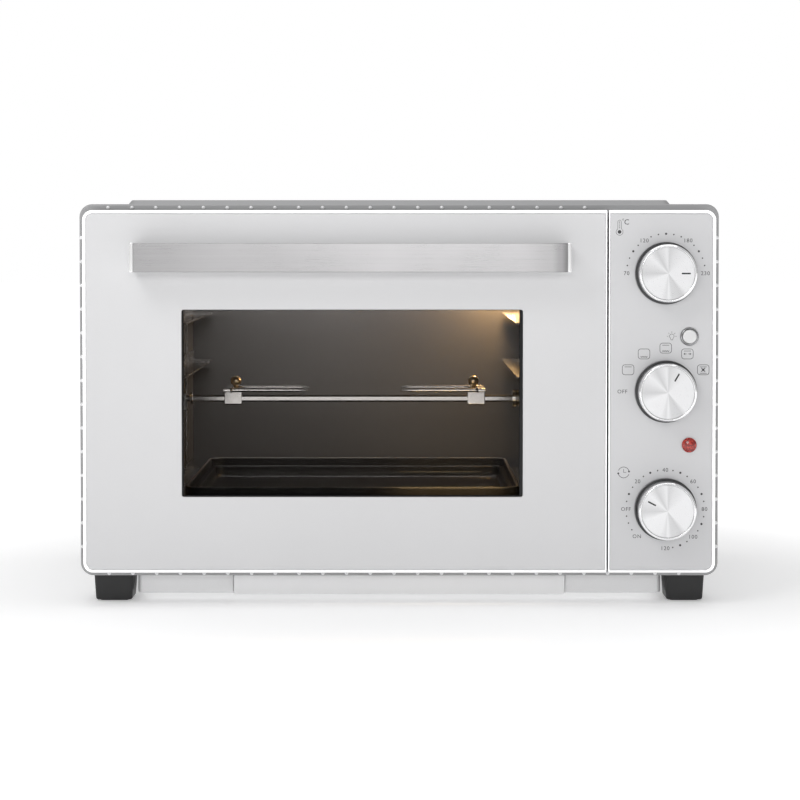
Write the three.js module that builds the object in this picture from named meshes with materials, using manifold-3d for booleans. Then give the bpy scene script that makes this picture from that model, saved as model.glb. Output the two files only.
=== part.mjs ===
// Countertop rotisserie oven: a drop-down glass door on the left, a control panel on the right,
// a turning spit with two forks, a baking tray on the lowest rack and a pull-out crumb tray underneath.
// Millimetres, +Z up, +X to the right, the door faces -Y. The origin is on the worktop, under the middle
// of the oven. Everything is drawn with y = 0 on the door's face and moved back at the end.
import * as THREE from 'three';
import { mergeVertices } from 'three/addons/utils/BufferGeometryUtils.js';
import Module from 'manifold-3d';

const wasm = await Module();
wasm.setup();

// ---- Driving dimensions ----
const GAP = 0.3; // clearance between pieces that touch
const SHEET = 1.2; // sheet metal thickness
const WIDTH = 545; // casing
const CASING_BASE = 23.5; // underside of the casing, which is also the height of the feet
const CASING_TOP = 341;
const CASING_CORNER = 11;
const FRAME_Y = 22; // front edge of the casing, behind the door's face
const CASING_BACK = 348;
const MARGIN = 5.4; // how far door and panel stay inside the casing's outline
const PLATE_CORNER = 8.5; // outer corners of door and panel
const EDGE_ROUND = 2.4; // rounding of their front edges
const SPLIT_X = 176.1; // middle of the gap between door and panel
const SPLIT_GAP = 1.6;
const HANDLE_REACH = 34; // handle's front, ahead of the door's face
const REAR_BULGE = 8; // raised field of the rear panel
const RAISED_TOP = 4; // raised field of the casing's top

const HALF = WIDTH / 2;
const INNER_HALF = HALF - SHEET - GAP;
const PLATE_LEFT = -HALF + MARGIN;
const PLATE_RIGHT = HALF - MARGIN;
const PLATE_BOTTOM = CASING_BASE + MARGIN;
const PLATE_TOP = CASING_TOP - MARGIN;
const DOOR_RIGHT = SPLIT_X - SPLIT_GAP / 2;
const PANEL_LEFT = SPLIT_X + SPLIT_GAP / 2;
const DOOR_DEPTH = 16; // outer pan of the door
const DOOR_BACK = 18; // inner face of the door

// Cavity, inside faces
const CAVITY = { left: -204, right: 122, front: 25, back: 330, floor: 28, top: 320 };
const CAVITY_MID = (CAVITY.left + CAVITY.right) / 2;
const CRUMB_HOLE = { left: -136, right: 104, front: 48, back: 312 }; // in the cavity's floor
const HEATER = { frontY: 108, rearY: 244, upperZ: 296, lowerZ: 54, radius: 3.6, ferrule: 6, ferruleLong: 7 };
const HANDLE = { left: -223.8, right: 142.9, bottom: 283.6, height: 24.5, strip: 3.2, bend: 7 };
const WINDOW = { left: -183.6, right: 104.4, bottom: 93.4, top: 251.7 };

// Hinge line of the door, and the pivots of its two stays
const HINGE = { y: 8, z: 35.3, pin: 2.5, hole: 2.9 };
const STAY = { y: 10, z: 95, length: 115, height: 9, thick: 2, leftX: -232, rightX: 150 };

// Spit
const SPIT = { y: 175, z: 164.6, square: 6.2, forkOffset: 113.8 };
const FAN = { y: 105, z: 222, radius: 36 };
const RACK_LEVELS = [85.5, 192, 238]; // undersides of the ledges
const LAMP = { y: 290, z: 275, radius: 20 };
const RACK = { front: 30, back: 322, reach: 21, thick: 1.2, ledge: 1.4, lip: 10, bottom: 62, top: 250 };
const TRAY = { half: 146, front: 50, back: 320, bottom: 76, top: 96.2, rim: 9, inset: 6, wall: 1.2, corner: 15 };
const MOTOR = { left: 128, gearbox: 158, back: 172, can: 22 };

// Controls, all on one line or beside it
const KNOB_X = 224.8;
const KNOB = { depth: 19, baseRadius: 26.3, faceRadius: 24.3 };
const KNOB_HEIGHTS = { temperature: 282.5, function: 182.7, timer: 83.2 };
const BUTTON = { x: 244.8, z: 229.1, radius: 5.9, ring: 7.4, reach: 3.5 };
const PILOT = { x: 244.8, z: 137.4, radius: 6.3 };

// Things underneath
const FOOT = { x: 245.5, frontY: 49, rearY: 318, top: 34.3, bottom: 31.5 };
const PLINTH = { half: 225.7, front: 40, back: 335, bottom: 5.5 };
const CRUMB_HALF = 142.7;

// Vents: two rows of upright slots in each side, and louvres in the rear panel
const VENT = { rows: 2, count: 7, y: 232, pitch: 12, width: 4, z: 226, height: 32, rowPitch: 44 };
const GLAND = { x: 215, z: 60, hole: 8.4 };

// ---- Small helpers ----
function solidOf(geometry) {
  const bare = geometry.index ? geometry.toNonIndexed() : geometry.clone();
  for (const name of Object.keys(bare.attributes)) if (name !== 'position') bare.deleteAttribute(name);
  const merged = mergeVertices(bare, 1e-4);
  const vertProperties = merged.attributes.position.array;
  const triVerts = new Uint32Array(merged.index.array);
  return new wasm.Manifold(new wasm.Mesh({ numProp: 3, vertProperties, triVerts }));
}

function geometryOf(solid) {
  const mesh = solid.getMesh();
  return new THREE.BufferGeometry()
    .setAttribute('position', new THREE.BufferAttribute(new Float32Array(mesh.vertProperties), 3))
    .setIndex(new THREE.BufferAttribute(new Uint32Array(mesh.triVerts), 1));
}

function join(...pieces) {
  return geometryOf(pieces.map(solidOf).reduce((sum, piece) => sum.add(piece)));
}

function cut(body, ...tools) {
  return geometryOf(tools.map(solidOf).reduce((rest, tool) => rest.subtract(tool), solidOf(body)));
}

function common(a, b) {
  return geometryOf(solidOf(a).intersect(solidOf(b)));
}

function block(x0, x1, y0, y1, z0, z1) {
  const box = new THREE.BoxGeometry(x1 - x0, y1 - y0, z1 - z0);
  return box.translate((x0 + x1) / 2, (y0 + y1) / 2, (z0 + z1) / 2);
}

// A block whose far end is smaller: inset on each side at z1.
function taperedBlock(x0, x1, y0, y1, z0, z1, insetX, insetY) {
  const shape = block(x0, x1, y0, y1, z0, z1);
  const at = shape.attributes.position;
  for (let i = 0; i < at.count; i++) {
    if (at.getZ(i) < (z0 + z1) / 2) continue;
    at.setX(i, at.getX(i) + (at.getX(i) < (x0 + x1) / 2 ? insetX : -insetX));
    at.setY(i, at.getY(i) + (at.getY(i) < (y0 + y1) / 2 ? insetY : -insetY));
  }
  return shape;
}

// Outline with a corner radius for top left, top right, bottom right and bottom left.
function roundedOutline(x0, x1, z0, z1, [tl, tr, br, bl]) {
  const outline = new THREE.Shape();
  const corner = (x, z, r, from) => {
    if (r > 0) outline.absarc(x, z, r, from, from - Math.PI / 2, true);
    else outline.lineTo(x, z);
  };
  outline.moveTo(x0, z0 + bl);
  corner(x0 + tl, z1 - tl, tl, Math.PI);
  corner(x1 - tr, z1 - tr, tr, Math.PI / 2);
  corner(x1 - br, z0 + br, br, 0);
  corner(x0 + bl, z0 + bl, bl, -Math.PI / 2);
  return outline;
}

const evenCorners = (r) => [r, r, r, r];

// An outline in x and z, extruded from yFront back to yBack.
function slab(outline, yFront, yBack, curveSegments = 5) {
  const depth = yBack - yFront;
  const shape = new THREE.ExtrudeGeometry(outline, { depth, bevelEnabled: false, curveSegments });
  return shape.rotateX(Math.PI / 2).translate(0, yBack, 0);
}

// A round bar from a to b along one axis.
function bar(axis, radius, a, b, centre, sides = 16) {
  const shape = new THREE.CylinderGeometry(radius, radius, b - a, sides);
  if (axis === 'x') shape.rotateZ(-Math.PI / 2);
  if (axis === 'z') shape.rotateX(Math.PI / 2);
  const at = new THREE.Vector3(...centre);
  at[axis] = (a + b) / 2;
  return shape.translate(at.x, at.y, at.z);
}

// A profile of [radius, distance] turned about an axis: 'y' runs to the front (-Y), 'x' to the left (-X).
function turned(profile, axis, centre, sides = 24) {
  const shape = new THREE.LatheGeometry(profile.map(([r, d]) => new THREE.Vector2(r, d)), sides);
  if (axis === 'y') shape.rotateX(Math.PI);
  if (axis === 'x') shape.rotateZ(Math.PI / 2);
  return shape.translate(...centre);
}

// ---- Materials ----
const finish = (color, roughness, metalness, more = {}) =>
  new THREE.MeshStandardMaterial({ color, roughness, metalness, ...more });
const silverPaint = finish(0xb9babb, 0.45, 0.5);
const panelSilver = finish(0xd6d7d8, 0.4, 0.4);
const brushedMetal = finish(0xc9c9cc, 0.32, 0.9);
const chrome = finish(0xe2e4e6, 0.12, 1);
const zincSheet = finish(0x8d8f90, 0.5, 0.7);
const darkEnamel = finish(0x1d1c1c, 0.25, 0.1);
const cavityCoat = finish(0x4c4a49, 0.5, 0.3);
const blackPlastic = finish(0x202022, 0.6, 0);
const heaterSheath = finish(0x7d7a74, 0.4, 0.8);
const clearGlass = finish(0x9aa0a0, 0.05, 0, { transparent: true, opacity: 0.3 });
const redLens = finish(0xb3201c, 0.15, 0, { transparent: true, opacity: 0.85 });
const bakelite = finish(0x8b7a5c, 0.6, 0);

const oven = new THREE.Group();
const add = (name, geometry, material) => {
  const mesh = new THREE.Mesh(geometry, material);
  mesh.name = name;
  oven.add(mesh);
};

// ---- Casing ----
function casingOutline(inset) {
  const corner = CASING_CORNER - inset;
  const corners = evenCorners(corner);
  return roundedOutline(-HALF + inset, HALF - inset, CASING_BASE + inset, CASING_TOP - inset, corners);
}

function ventSlots(x0, x1) {
  const slots = [];
  for (let row = 0; row < VENT.rows; row++)
    for (let i = 0; i < VENT.count; i++) {
      const y = VENT.y + i * VENT.pitch;
      const z = VENT.z + row * VENT.rowPitch;
      slots.push(block(x0, x1, y, y + VENT.width, z, z + VENT.height));
    }
  return slots;
}

function outerCasing() {
  const wrap = slab(casingOutline(0), FRAME_Y, CASING_BACK);
  const hollow = slab(casingOutline(SHEET), FRAME_Y + SHEET, CASING_BACK + 1);
  const mouth = slab(casingOutline(9), FRAME_Y - 1, FRAME_Y + SHEET + 1);
  const underside = block(-215, 215, 50, 325, CASING_BASE - 1, CASING_BASE + SHEET + 1);
  const fieldTop = CASING_TOP + RAISED_TOP;
  const raised = taperedBlock(-236, 236, 52, 322, CASING_TOP - 0.5, fieldTop, RAISED_TOP, RAISED_TOP);
  const below = taperedBlock(-234, 234, 54, 320, CASING_TOP - SHEET - 2, fieldTop - SHEET, 5.5, 5.5);
  const shell = cut(wrap, hollow, mouth, underside);
  const vents = [...ventSlots(-HALF - 1, -HALF + 3), ...ventSlots(HALF - 3, HALF + 1)];
  return cut(join(shell, raised), below, ...vents);
}

function basePan() {
  const { half, front, back, bottom } = PLINTH;
  const outer = slab(roundedOutline(-half, half, bottom, CASING_BASE - GAP, [0, 0, 3, 3]), front, back);
  const inner = block(-half + SHEET, half - SHEET, front + SHEET, back - SHEET, bottom + SHEET, CASING_BASE);
  const mouthHalf = CRUMB_HALF + 0.5;
  const mouth = block(-mouthHalf, mouthHalf, front - 1, front + 3, bottom + SHEET + 0.1, CASING_BASE);
  return cut(outer, inner, mouth);
}

function rearPanel() {
  const sheet = slab(
    roundedOutline(-INNER_HALF, INNER_HALF, CASING_BASE + SHEET + GAP, CASING_TOP - SHEET - GAP, evenCorners(9)),
    CASING_BACK - SHEET,
    CASING_BACK,
  );
  const field = block(-190, 100, CASING_BACK - 0.5, CASING_BACK + REAR_BULGE, 80, 300);
  const recess = block(-188, 98, CASING_BACK - 3, CASING_BACK + REAR_BULGE - SHEET, 82, 298);
  const slots = [];
  for (let i = 0; i < 8; i++) {
    const z = 190 + i * 14;
    slots.push(block(160, 230, CASING_BACK - 4, CASING_BACK + 2, z, z + 4));
  }
  for (let i = 0; i < 6; i++) {
    const x = -165 + i * 42;
    slots.push(block(x, x + 26, CASING_BACK, CASING_BACK + 12, 268, 272));
  }
  const cordHole = bar('y', GLAND.hole, CASING_BACK - 8, CASING_BACK + 12, [GLAND.x, 0, GLAND.z], 16);
  return cut(join(sheet, field), recess, ...slots, cordHole);
}

function frontFrame() {
  const y0 = FRAME_Y + SHEET + GAP;
  const y1 = CAVITY.front - GAP;
  const bottom = CASING_BASE + SHEET + GAP;
  const outline = roundedOutline(-INNER_HALF, INNER_HALF, bottom, CASING_TOP - SHEET - GAP, evenCorners(9));
  const mouth = slab(
    roundedOutline(CAVITY.left, CAVITY.right, CAVITY.floor, CAVITY.top, evenCorners(14)),
    y0 - 1,
    y1 + 1,
  );
  const stay = (x) => block(x - 3, x + 3, y0 - 1, y1 + 1, 72, 102);
  const spindleHoles = Object.values(KNOB_HEIGHTS).map((z) => bar('y', 6, y0 - 1, y1 + 1, [KNOB_X, 0, z], 16));
  const small = (at) => bar('y', 6.5, y0 - 1, y1 + 1, [at.x, 0, at.z], 16);
  const stays = [stay(STAY.leftX), stay(STAY.rightX)];
  return cut(slab(outline, y0, y1), mouth, ...stays, ...spindleHoles, small(BUTTON), small(PILOT));
}

// ---- Cavity walls ----
function sideWall(x0, x1) {
  return block(x0, x1, CAVITY.front, CAVITY.back, CAVITY.floor, CAVITY.top);
}

function rightWall() {
  const x0 = CAVITY.right;
  const x1 = x0 + 1;
  const hole = (radius, at) => bar('x', radius, x0 - 1, x1 + 1, [0, at.y, at.z], 20);
  const holes = [hole(9, SPIT), hole(15, LAMP)];
  for (let ring = 1; ring <= 3; ring++)
    for (let i = 0; i < 4 * ring; i++) {
      const angle = (i / (4 * ring)) * 2 * Math.PI;
      const at = [0, FAN.y + ring * 10 * Math.cos(angle), FAN.z + ring * 10 * Math.sin(angle)];
      holes.push(bar('x', 3, x0 - 1, x1 + 1, at, 6));
    }
  return cut(sideWall(x0, x1), ...holes);
}

function cavityFloor() {
  const { left, right, front, back } = CRUMB_HOLE;
  const top = CAVITY.floor - GAP;
  const sheet = block(CAVITY.left, CAVITY.right, CAVITY.front, CAVITY.back, top - 1, top);
  return cut(sheet, block(left, right, front, back, CAVITY.floor - 3, CAVITY.floor + 1));
}

function cavityCeiling() {
  return block(CAVITY.left, CAVITY.right, CAVITY.front, CAVITY.back, CAVITY.top + GAP, CAVITY.top + 1.3);
}

function backWall() {
  return block(CAVITY.left - 1, CAVITY.right + 1, CAVITY.back + GAP, CAVITY.back + 1.3, CAVITY.floor, CAVITY.top);
}

// Pressed rack: two upright strips and three ledges, inwards of one side wall. side is -1 or 1.
function rackRails(side) {
  const wall = side < 0 ? CAVITY.left + GAP : CAVITY.right - GAP;
  const x = (from, to) => [wall - side * from, wall - side * to].sort((a, b) => a - b);
  const { front, back, reach, thick, ledge, lip, bottom, top } = RACK;
  const strips = [60, 246].map((y) => block(...x(0, thick), y, y + 12, bottom, top));
  const ledges = RACK_LEVELS.flatMap((z) => [
    block(...x(0, reach), front, back, z, z + ledge),
    block(...x(0, thick), front, back, z, z + lip),
  ]);
  return join(...strips, ...ledges);
}

function heater(y, z) {
  const x0 = CAVITY.left + GAP;
  const x1 = CAVITY.right - GAP;
  const { radius, ferrule, ferruleLong } = HEATER;
  const collar = (a, b) => bar('x', ferrule, a, b, [0, y, z], 12);
  const tube = bar('x', radius, x0, x1, [0, y, z], 12);
  return join(tube, collar(x0, x0 + ferruleLong), collar(x1 - ferruleLong, x1));
}

// ---- Door ----
function roundedPan(x0, x1, corners, depth) {
  const [z0, z1] = [PLATE_BOTTOM, PLATE_TOP];
  const faceCorners = corners.map((r) => Math.max(r - EDGE_ROUND, 0));
  const outline = roundedOutline(x0 + EDGE_ROUND, x1 - EDGE_ROUND, z0 + EDGE_ROUND, z1 - EDGE_ROUND, faceCorners);
  const rounding = { bevelEnabled: true, bevelThickness: EDGE_ROUND, bevelSize: EDGE_ROUND, bevelSegments: 3 };
  const blank = new THREE.ExtrudeGeometry(outline, { depth, curveSegments: 5, ...rounding });
  blank.rotateX(Math.PI / 2).translate(0, depth + EDGE_ROUND, 0);
  const wanted = block(x0 - 1, x1 + 1, 0, depth, z0 - 1, z1 + 1);
  const innerCorners = corners.map((r) => Math.max(r - SHEET, 0));
  const inside = roundedOutline(x0 + SHEET, x1 - SHEET, z0 + SHEET, z1 - SHEET, innerCorners);
  const hollow = slab(inside, EDGE_ROUND, depth + 1);
  const face = block(x0 + 3, x1 - 3, SHEET, EDGE_ROUND + 1, z0 + 3, z1 - 3);
  return cut(common(blank, wanted), hollow, face);
}

function doorPanel() {
  const pan = roundedPan(PLATE_LEFT, DOOR_RIGHT, [PLATE_CORNER, 0, 0, PLATE_CORNER], DOOR_DEPTH);
  const opening = roundedOutline(WINDOW.left, WINDOW.right, WINDOW.bottom, WINDOW.top, evenCorners(1.7));
  const pinHoles = [
    bar('x', HINGE.hole, PLATE_LEFT - 1, PLATE_LEFT + 3, [0, HINGE.y, HINGE.z], 16),
    bar('x', HINGE.hole, DOOR_RIGHT - 3, DOOR_RIGHT + 1, [0, HINGE.y, HINGE.z], 16),
  ];
  const notches = [
    block(-263.5, -256, 3.5, DOOR_DEPTH + 1, PLATE_BOTTOM - 1, PLATE_BOTTOM + 3),
    block(164, 171.5, 3.5, DOOR_DEPTH + 1, PLATE_BOTTOM - 1, PLATE_BOTTOM + 3),
  ];
  return cut(pan, slab(opening, -1, 5, 3), ...pinHoles, ...notches);
}

function doorInnerFrame() {
  const y0 = DOOR_DEPTH + GAP;
  const left = PLATE_LEFT + 0.5;
  const right = DOOR_RIGHT - 0.5;
  const edge = roundedOutline(left, right, PLATE_BOTTOM + 0.5, PLATE_TOP - 0.5, [8, 0, 0, 8]);
  const sheet = slab(edge, y0, DOOR_BACK);
  const opening = roundedOutline(WINDOW.left - 8, WINDOW.right + 8, 85, 262, evenCorners(10));
  const window = slab(opening, y0 - 1, DOOR_BACK + 1);
  const stays = [STAY.leftX, STAY.rightX].map((x) => block(x - 3, x + 3, y0 - 1, DOOR_BACK + 1, 71, 101));
  const lug = (x0, x1) => block(x0, x1, y0 - 1, DOOR_BACK + 1, 20, 43);
  const lugs = [lug(-270, -255), lug(163, 180)];
  return cut(sheet, window, ...stays, ...lugs);
}

// Flat strip bent back to the door at both ends.
function doorHandle() {
  const { left, right, bottom, height, strip, bend } = HANDLE;
  const upright = (outline, from, to) => {
    const settings = { depth: to - from, bevelEnabled: false, curveSegments: 6 };
    return new THREE.ExtrudeGeometry(outline, settings).translate(0, 0, from);
  };
  const outside = roundedOutline(left, right, -HANDLE_REACH, -GAP, [0, 0, bend, bend]);
  const innerBend = bend - strip;
  const innerCorners = [0, 0, innerBend, innerBend];
  const inside = roundedOutline(left + strip, right - strip, strip - HANDLE_REACH, 1, innerCorners);
  return cut(upright(outside, bottom, bottom + height), upright(inside, bottom - 1, bottom + height + 1));
}

function hingeBracket(x0, x1, pinFrom, pinTo, footX0, footX1) {
  const arm = block(x0, x1, HINGE.y, 21.5, HINGE.z - 3.8, HINGE.z + 3.8);
  const eye = bar('x', 3.8, x0, x1, [0, HINGE.y, HINGE.z], 16);
  const pin = bar('x', HINGE.pin, pinFrom, pinTo, [0, HINGE.y, HINGE.z], 16);
  const foot = block(footX0, footX1, 21.2, 23.2, 33, 52);
  return join(arm, eye, pin, foot);
}

function doorStay(x) {
  const half = STAY.height / 2;
  const tail = STAY.y + STAY.length;
  const arm = block(x - STAY.thick / 2, x + STAY.thick / 2, STAY.y, tail - half, STAY.z - half, STAY.z + half);
  const eye = bar('x', half, x - STAY.thick / 2, x + STAY.thick / 2, [0, STAY.y, STAY.z], 16);
  const end = bar('x', half, x - STAY.thick / 2, x + STAY.thick / 2, [0, tail - half, STAY.z], 16);
  const catchNotch = bar('x', 2.2, x - 3, x + 3, [0, tail - 14, STAY.z - half], 12);
  return cut(join(arm, eye, end), catchNotch);
}

// ---- Controls ----
function controlPanel() {
  const pan = roundedPan(PANEL_LEFT, PLATE_RIGHT, [0, PLATE_CORNER, PLATE_CORNER, 0], FRAME_Y - GAP);
  const hole = (x, z, r) => bar('y', r, -1, 5, [x, 0, z]);
  const spindles = Object.values(KNOB_HEIGHTS).map((z) => hole(KNOB_X, z, 5));
  return cut(pan, ...spindles, hole(BUTTON.x, BUTTON.z, BUTTON.ring + GAP), hole(PILOT.x, PILOT.z, 5.4));
}

function knob(z) {
  const { depth, baseRadius, faceRadius } = KNOB;
  const profile = [
    [3.3, 0.6], [baseRadius, 0.6], [baseRadius, 2.4], [faceRadius + 0.5, 4.5], [faceRadius, depth - 1.6],
    [faceRadius - 1.6, depth], [22.2, depth], [21.9, depth - 0.6], [0, depth - 0.6],
    [0, depth - 3], [3.3, depth - 3], [3.3, 0.6],
  ];
  return turned(profile, 'y', [KNOB_X, 0, z], 36);
}

function spindle(z) {
  return bar('y', 3, -KNOB.depth + 3.6, 27.5, [KNOB_X, 0, z], 16);
}

function switchBody(halfX, halfZ, depth, z) {
  const body = block(KNOB_X - halfX, KNOB_X + halfX, 28, 28 + depth, z - halfZ, z + halfZ);
  const collar = bar('y', 8, 25, 29, [KNOB_X, 0, z], 16);
  return cut(join(body, collar), bar('y', 3.4, 24, 40, [KNOB_X, 0, z], 16));
}

function buttonRing() {
  const { x, z, radius, ring } = BUTTON;
  const bore = radius + 0.4;
  const profile = [[bore, -4], [ring, -4], [ring, 0.6], [ring - 0.5, 1.2], [bore, 1.2], [bore, -4]];
  return turned(profile, 'y', [x, 0, z]);
}

function lampButton() {
  const { x, z, radius, reach } = BUTTON;
  const stem = [[0, -22], [3, -22], [3, -6], [radius, -6]];
  return turned([...stem, [radius, reach - 0.8], [radius - 0.8, reach], [0, reach]], 'y', [x, 0, z]);
}

function pilotLens() {
  const { x, z, radius } = PILOT;
  return turned([[0, -10], [5, -10], [5, 0.3], [radius, 0.3], [radius, 1], [4.6, 2.4], [0, 3]], 'y', [x, 0, z]);
}

// ---- Spit ----
function spitRod() {
  const half = SPIT.square / 2;
  const journalEnd = CAVITY.left + 12;
  const square = block(journalEnd, 118, SPIT.y - half, SPIT.y + half, SPIT.z - half, SPIT.z + half);
  const journal = bar('x', 2.9, CAVITY.left + 3, journalEnd + 1, [0, SPIT.y, SPIT.z], 16);
  const collar = bar('x', 5.5, journalEnd - 0.5, journalEnd + 2, [0, SPIT.y, SPIT.z], 20);
  return join(square, journal, collar);
}

function driveSocket() {
  const at = [0, SPIT.y, SPIT.z];
  const hub = join(bar('x', 8, 104, 127.5, at, 24), bar('x', 3.5, 127, 140, at, 16));
  const side = SPIT.square / 2 + GAP;
  return cut(hub, block(103, 118.5, SPIT.y - side, SPIT.y + side, SPIT.z - side, SPIT.z + side));
}

function spitBearing() {
  const x0 = CAVITY.left + GAP;
  const plate = block(x0, x0 + 1.6, SPIT.y - 15, SPIT.y + 15, SPIT.z - 26, SPIT.z + 16);
  const cradle = block(x0, x0 + 8, SPIT.y - 8, SPIT.y + 8, SPIT.z - 10, SPIT.z + 4);
  const seat = bar('x', 3.4, x0 + 1.6, x0 + 9, [0, SPIT.y, SPIT.z], 20);
  const mouth = block(x0 + 1.6, x0 + 9, SPIT.y - 3.4, SPIT.y + 3.4, SPIT.z, SPIT.z + 8);
  return cut(join(plate, cradle), seat, mouth);
}

// Clamp round the rod, a cross bar above it and two prongs. side is the way the prongs point.
function fork(side) {
  const base = CAVITY_MID - side * SPIT.forkOffset;
  const x = (from, to) => [base + side * from, base + side * to].sort((a, b) => a - b);
  const hole = SPIT.square / 2 + GAP;
  const clamp = block(...x(-6, 10), SPIT.y - 6, SPIT.y + 6, SPIT.z - 5.6, SPIT.z + 8);
  const bore = block(...x(-8, 12), SPIT.y - hole, SPIT.y + hole, SPIT.z - hole, SPIT.z + hole);
  const crossBar = block(...x(-6, 1), SPIT.y - 23.5, SPIT.y + 23.5, SPIT.z + 7, SPIT.z + 10.5);
  const prongs = [-21.5, 21.5].flatMap((dy) => {
    const at = [0, SPIT.y + dy, SPIT.z + 9];
    const shaft = bar('x', 1.75, ...x(-4, 62), at, 10);
    const tip = new THREE.ConeGeometry(1.75, 10, 10).rotateZ((-side * Math.PI) / 2);
    return [shaft, tip.translate(base + side * 66.8, at[1], at[2])];
  });
  const screwHole = bar('z', 2.6, SPIT.z + 3, SPIT.z + 14, [base + side * 4.5, SPIT.y, 0], 16);
  return cut(join(clamp, crossBar, ...prongs), bore, screwHole);
}

function thumbscrew(side) {
  const x = CAVITY_MID - side * SPIT.forkOffset + side * 4.5;
  const at = [x, SPIT.y, 0];
  const shank = bar('z', 2.2, SPIT.z + SPIT.square / 2 + GAP, SPIT.z + 15, at, 16);
  const head = bar('z', 5.2, SPIT.z + 13, SPIT.z + 21, at, 20);
  return join(shank, head);
}

// ---- Trays ----
function bakingTray() {
  const { half, front, back, bottom, top, rim, inset, wall, corner } = TRAY;
  const left = CAVITY_MID - half;
  const right = CAVITY_MID + half;
  const shell = (by, from, to) => {
    const edge = roundedOutline(left + by, right - by, front + by, back - by, evenCorners(corner - by));
    const outline = new THREE.Shape(edge.getPoints(5));
    return new THREE.ExtrudeGeometry(outline, { depth: to - from, bevelEnabled: false }).translate(0, 0, from);
  };
  const outside = join(shell(0, top - rim, top), shell(inset, bottom, top));
  return cut(outside, shell(inset + wall, bottom + wall, top + 1), shell(wall, top - rim + wall, top + 1));
}

function crumbTray() {
  const lip = slab(roundedOutline(-CRUMB_HALF, CRUMB_HALF, 5, 22, [1, 1, 1.5, 1.5]), 36, 38.5, 2);
  const body = block(-138, 138, 38, 322, 7.6, 18);
  const hollow = block(-137, 137, 39.5, 321, 8.6, 19);
  return join(lip, cut(body, hollow));
}

function foot(x, y) {
  const half = FOOT.top / 2;
  const draft = (FOOT.top - FOOT.bottom) / 2;
  const height = CASING_BASE - GAP;
  const upsideDown = taperedBlock(-half, half, -half, half, 0, height, draft, draft);
  return upsideDown.rotateX(Math.PI).translate(x, y, height);
}

// ---- Behind the right wall ----
function rotisserieMotor() {
  const at = [0, SPIT.y, SPIT.z];
  const gearbox = block(MOTOR.left, MOTOR.gearbox, SPIT.y - 26, SPIT.y + 26, SPIT.z - 27, SPIT.z + 27);
  const can = bar('x', MOTOR.can, MOTOR.gearbox - 1, MOTOR.back, at, 24);
  return cut(join(gearbox, can), bar('x', 4, MOTOR.left - 1, 142, at, 16));
}

function fanWheel() {
  const hub = bar('x', 8, 126, 138, [0, FAN.y, FAN.z], 16);
  const disc = bar('x', FAN.radius, 136.5, 138, [0, FAN.y, FAN.z], 30);
  const shaft = bar('x', 2.5, 137, 146, [0, FAN.y, FAN.z]);
  const blades = [];
  for (let i = 0; i < 8; i++) {
    const blade = new THREE.BoxGeometry(11, 1.2, 27).translate(132, 0, 20.5).rotateX((i / 8) * 2 * Math.PI);
    blades.push(blade.translate(0, FAN.y, FAN.z));
  }
  return join(hub, disc, shaft, ...blades);
}

function fanMotor() {
  const at = [0, FAN.y, FAN.z];
  return cut(bar('x', MOTOR.can, 141, MOTOR.back, at, 24), bar('x', 2.9, 140, 148, at));
}

function lampGlass() {
  const r = LAMP.radius;
  const profile = [[0, 9.5], [8, 9.1], [15, 6.8], [r, 1.5], [r, 0.3], [r - 1.8, 0.3], [13.6, 5.2], [8, 7.5], [0, 7.9]];
  return turned(profile.reverse(), 'x', [CAVITY.right, LAMP.y, LAMP.z]);
}

// Bushing in the rear panel; it has a bore for the cord.
function cordGland() {
  const profile = [[3.6, -12], [6, -12], [10.5, -6.3], [10.5, -4.3], [7.9, -4.3], [7.9, 4], [3.6, 4], [3.6, -12]];
  return turned(profile, 'y', [GLAND.x, CASING_BACK - 4, GLAND.z], 20);
}

function lampBulb() {
  return turned([[0, -12], [8, -12], [8, 0], [5, 4], [0, 5.5]], 'x', [CAVITY.right, LAMP.y, LAMP.z], 20);
}

// ---- Assembly ----
add('outer_casing', outerCasing(), silverPaint);
add('base_pan', basePan(), panelSilver);
add('rear_panel', rearPanel(), zincSheet);
add('front_frame', frontFrame(), zincSheet);
add('cavity_left_wall', sideWall(CAVITY.left - 1, CAVITY.left), cavityCoat);
add('cavity_right_wall', rightWall(), cavityCoat);
add('cavity_ceiling', cavityCeiling(), cavityCoat);
add('cavity_floor', cavityFloor(), cavityCoat);
add('cavity_back_wall', backWall(), cavityCoat);
add('left_rack_rails', rackRails(-1), chrome);
add('right_rack_rails', rackRails(1), chrome);
add('upper_heater_front', heater(HEATER.frontY, HEATER.upperZ), heaterSheath);
add('upper_heater_rear', heater(HEATER.rearY, HEATER.upperZ), heaterSheath);
add('lower_heater_front', heater(HEATER.frontY, HEATER.lowerZ), heaterSheath);
add('lower_heater_rear', heater(HEATER.rearY, HEATER.lowerZ), heaterSheath);

add('door_panel', doorPanel(), panelSilver);
add('door_inner_frame', doorInnerFrame(), darkEnamel);
add('door_outer_glass', block(WINDOW.left - 9, WINDOW.right + 9, SHEET + GAP, 5.5, 84, 261), clearGlass);
add('door_inner_glass', block(WINDOW.left - 13, WINDOW.right + 13, 12.5, DOOR_DEPTH, 80, 267), clearGlass);
add('door_handle', doorHandle(), brushedMetal);
add('left_hinge', hingeBracket(-262.5, -260, -266.8, -260, -262.5, -252), zincSheet);
add('right_hinge', hingeBracket(168.2, 170.7, 168.2, 175, 160, 170.7), zincSheet);
add('left_door_stay', doorStay(STAY.leftX), zincSheet);
add('right_door_stay', doorStay(STAY.rightX), zincSheet);

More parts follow.
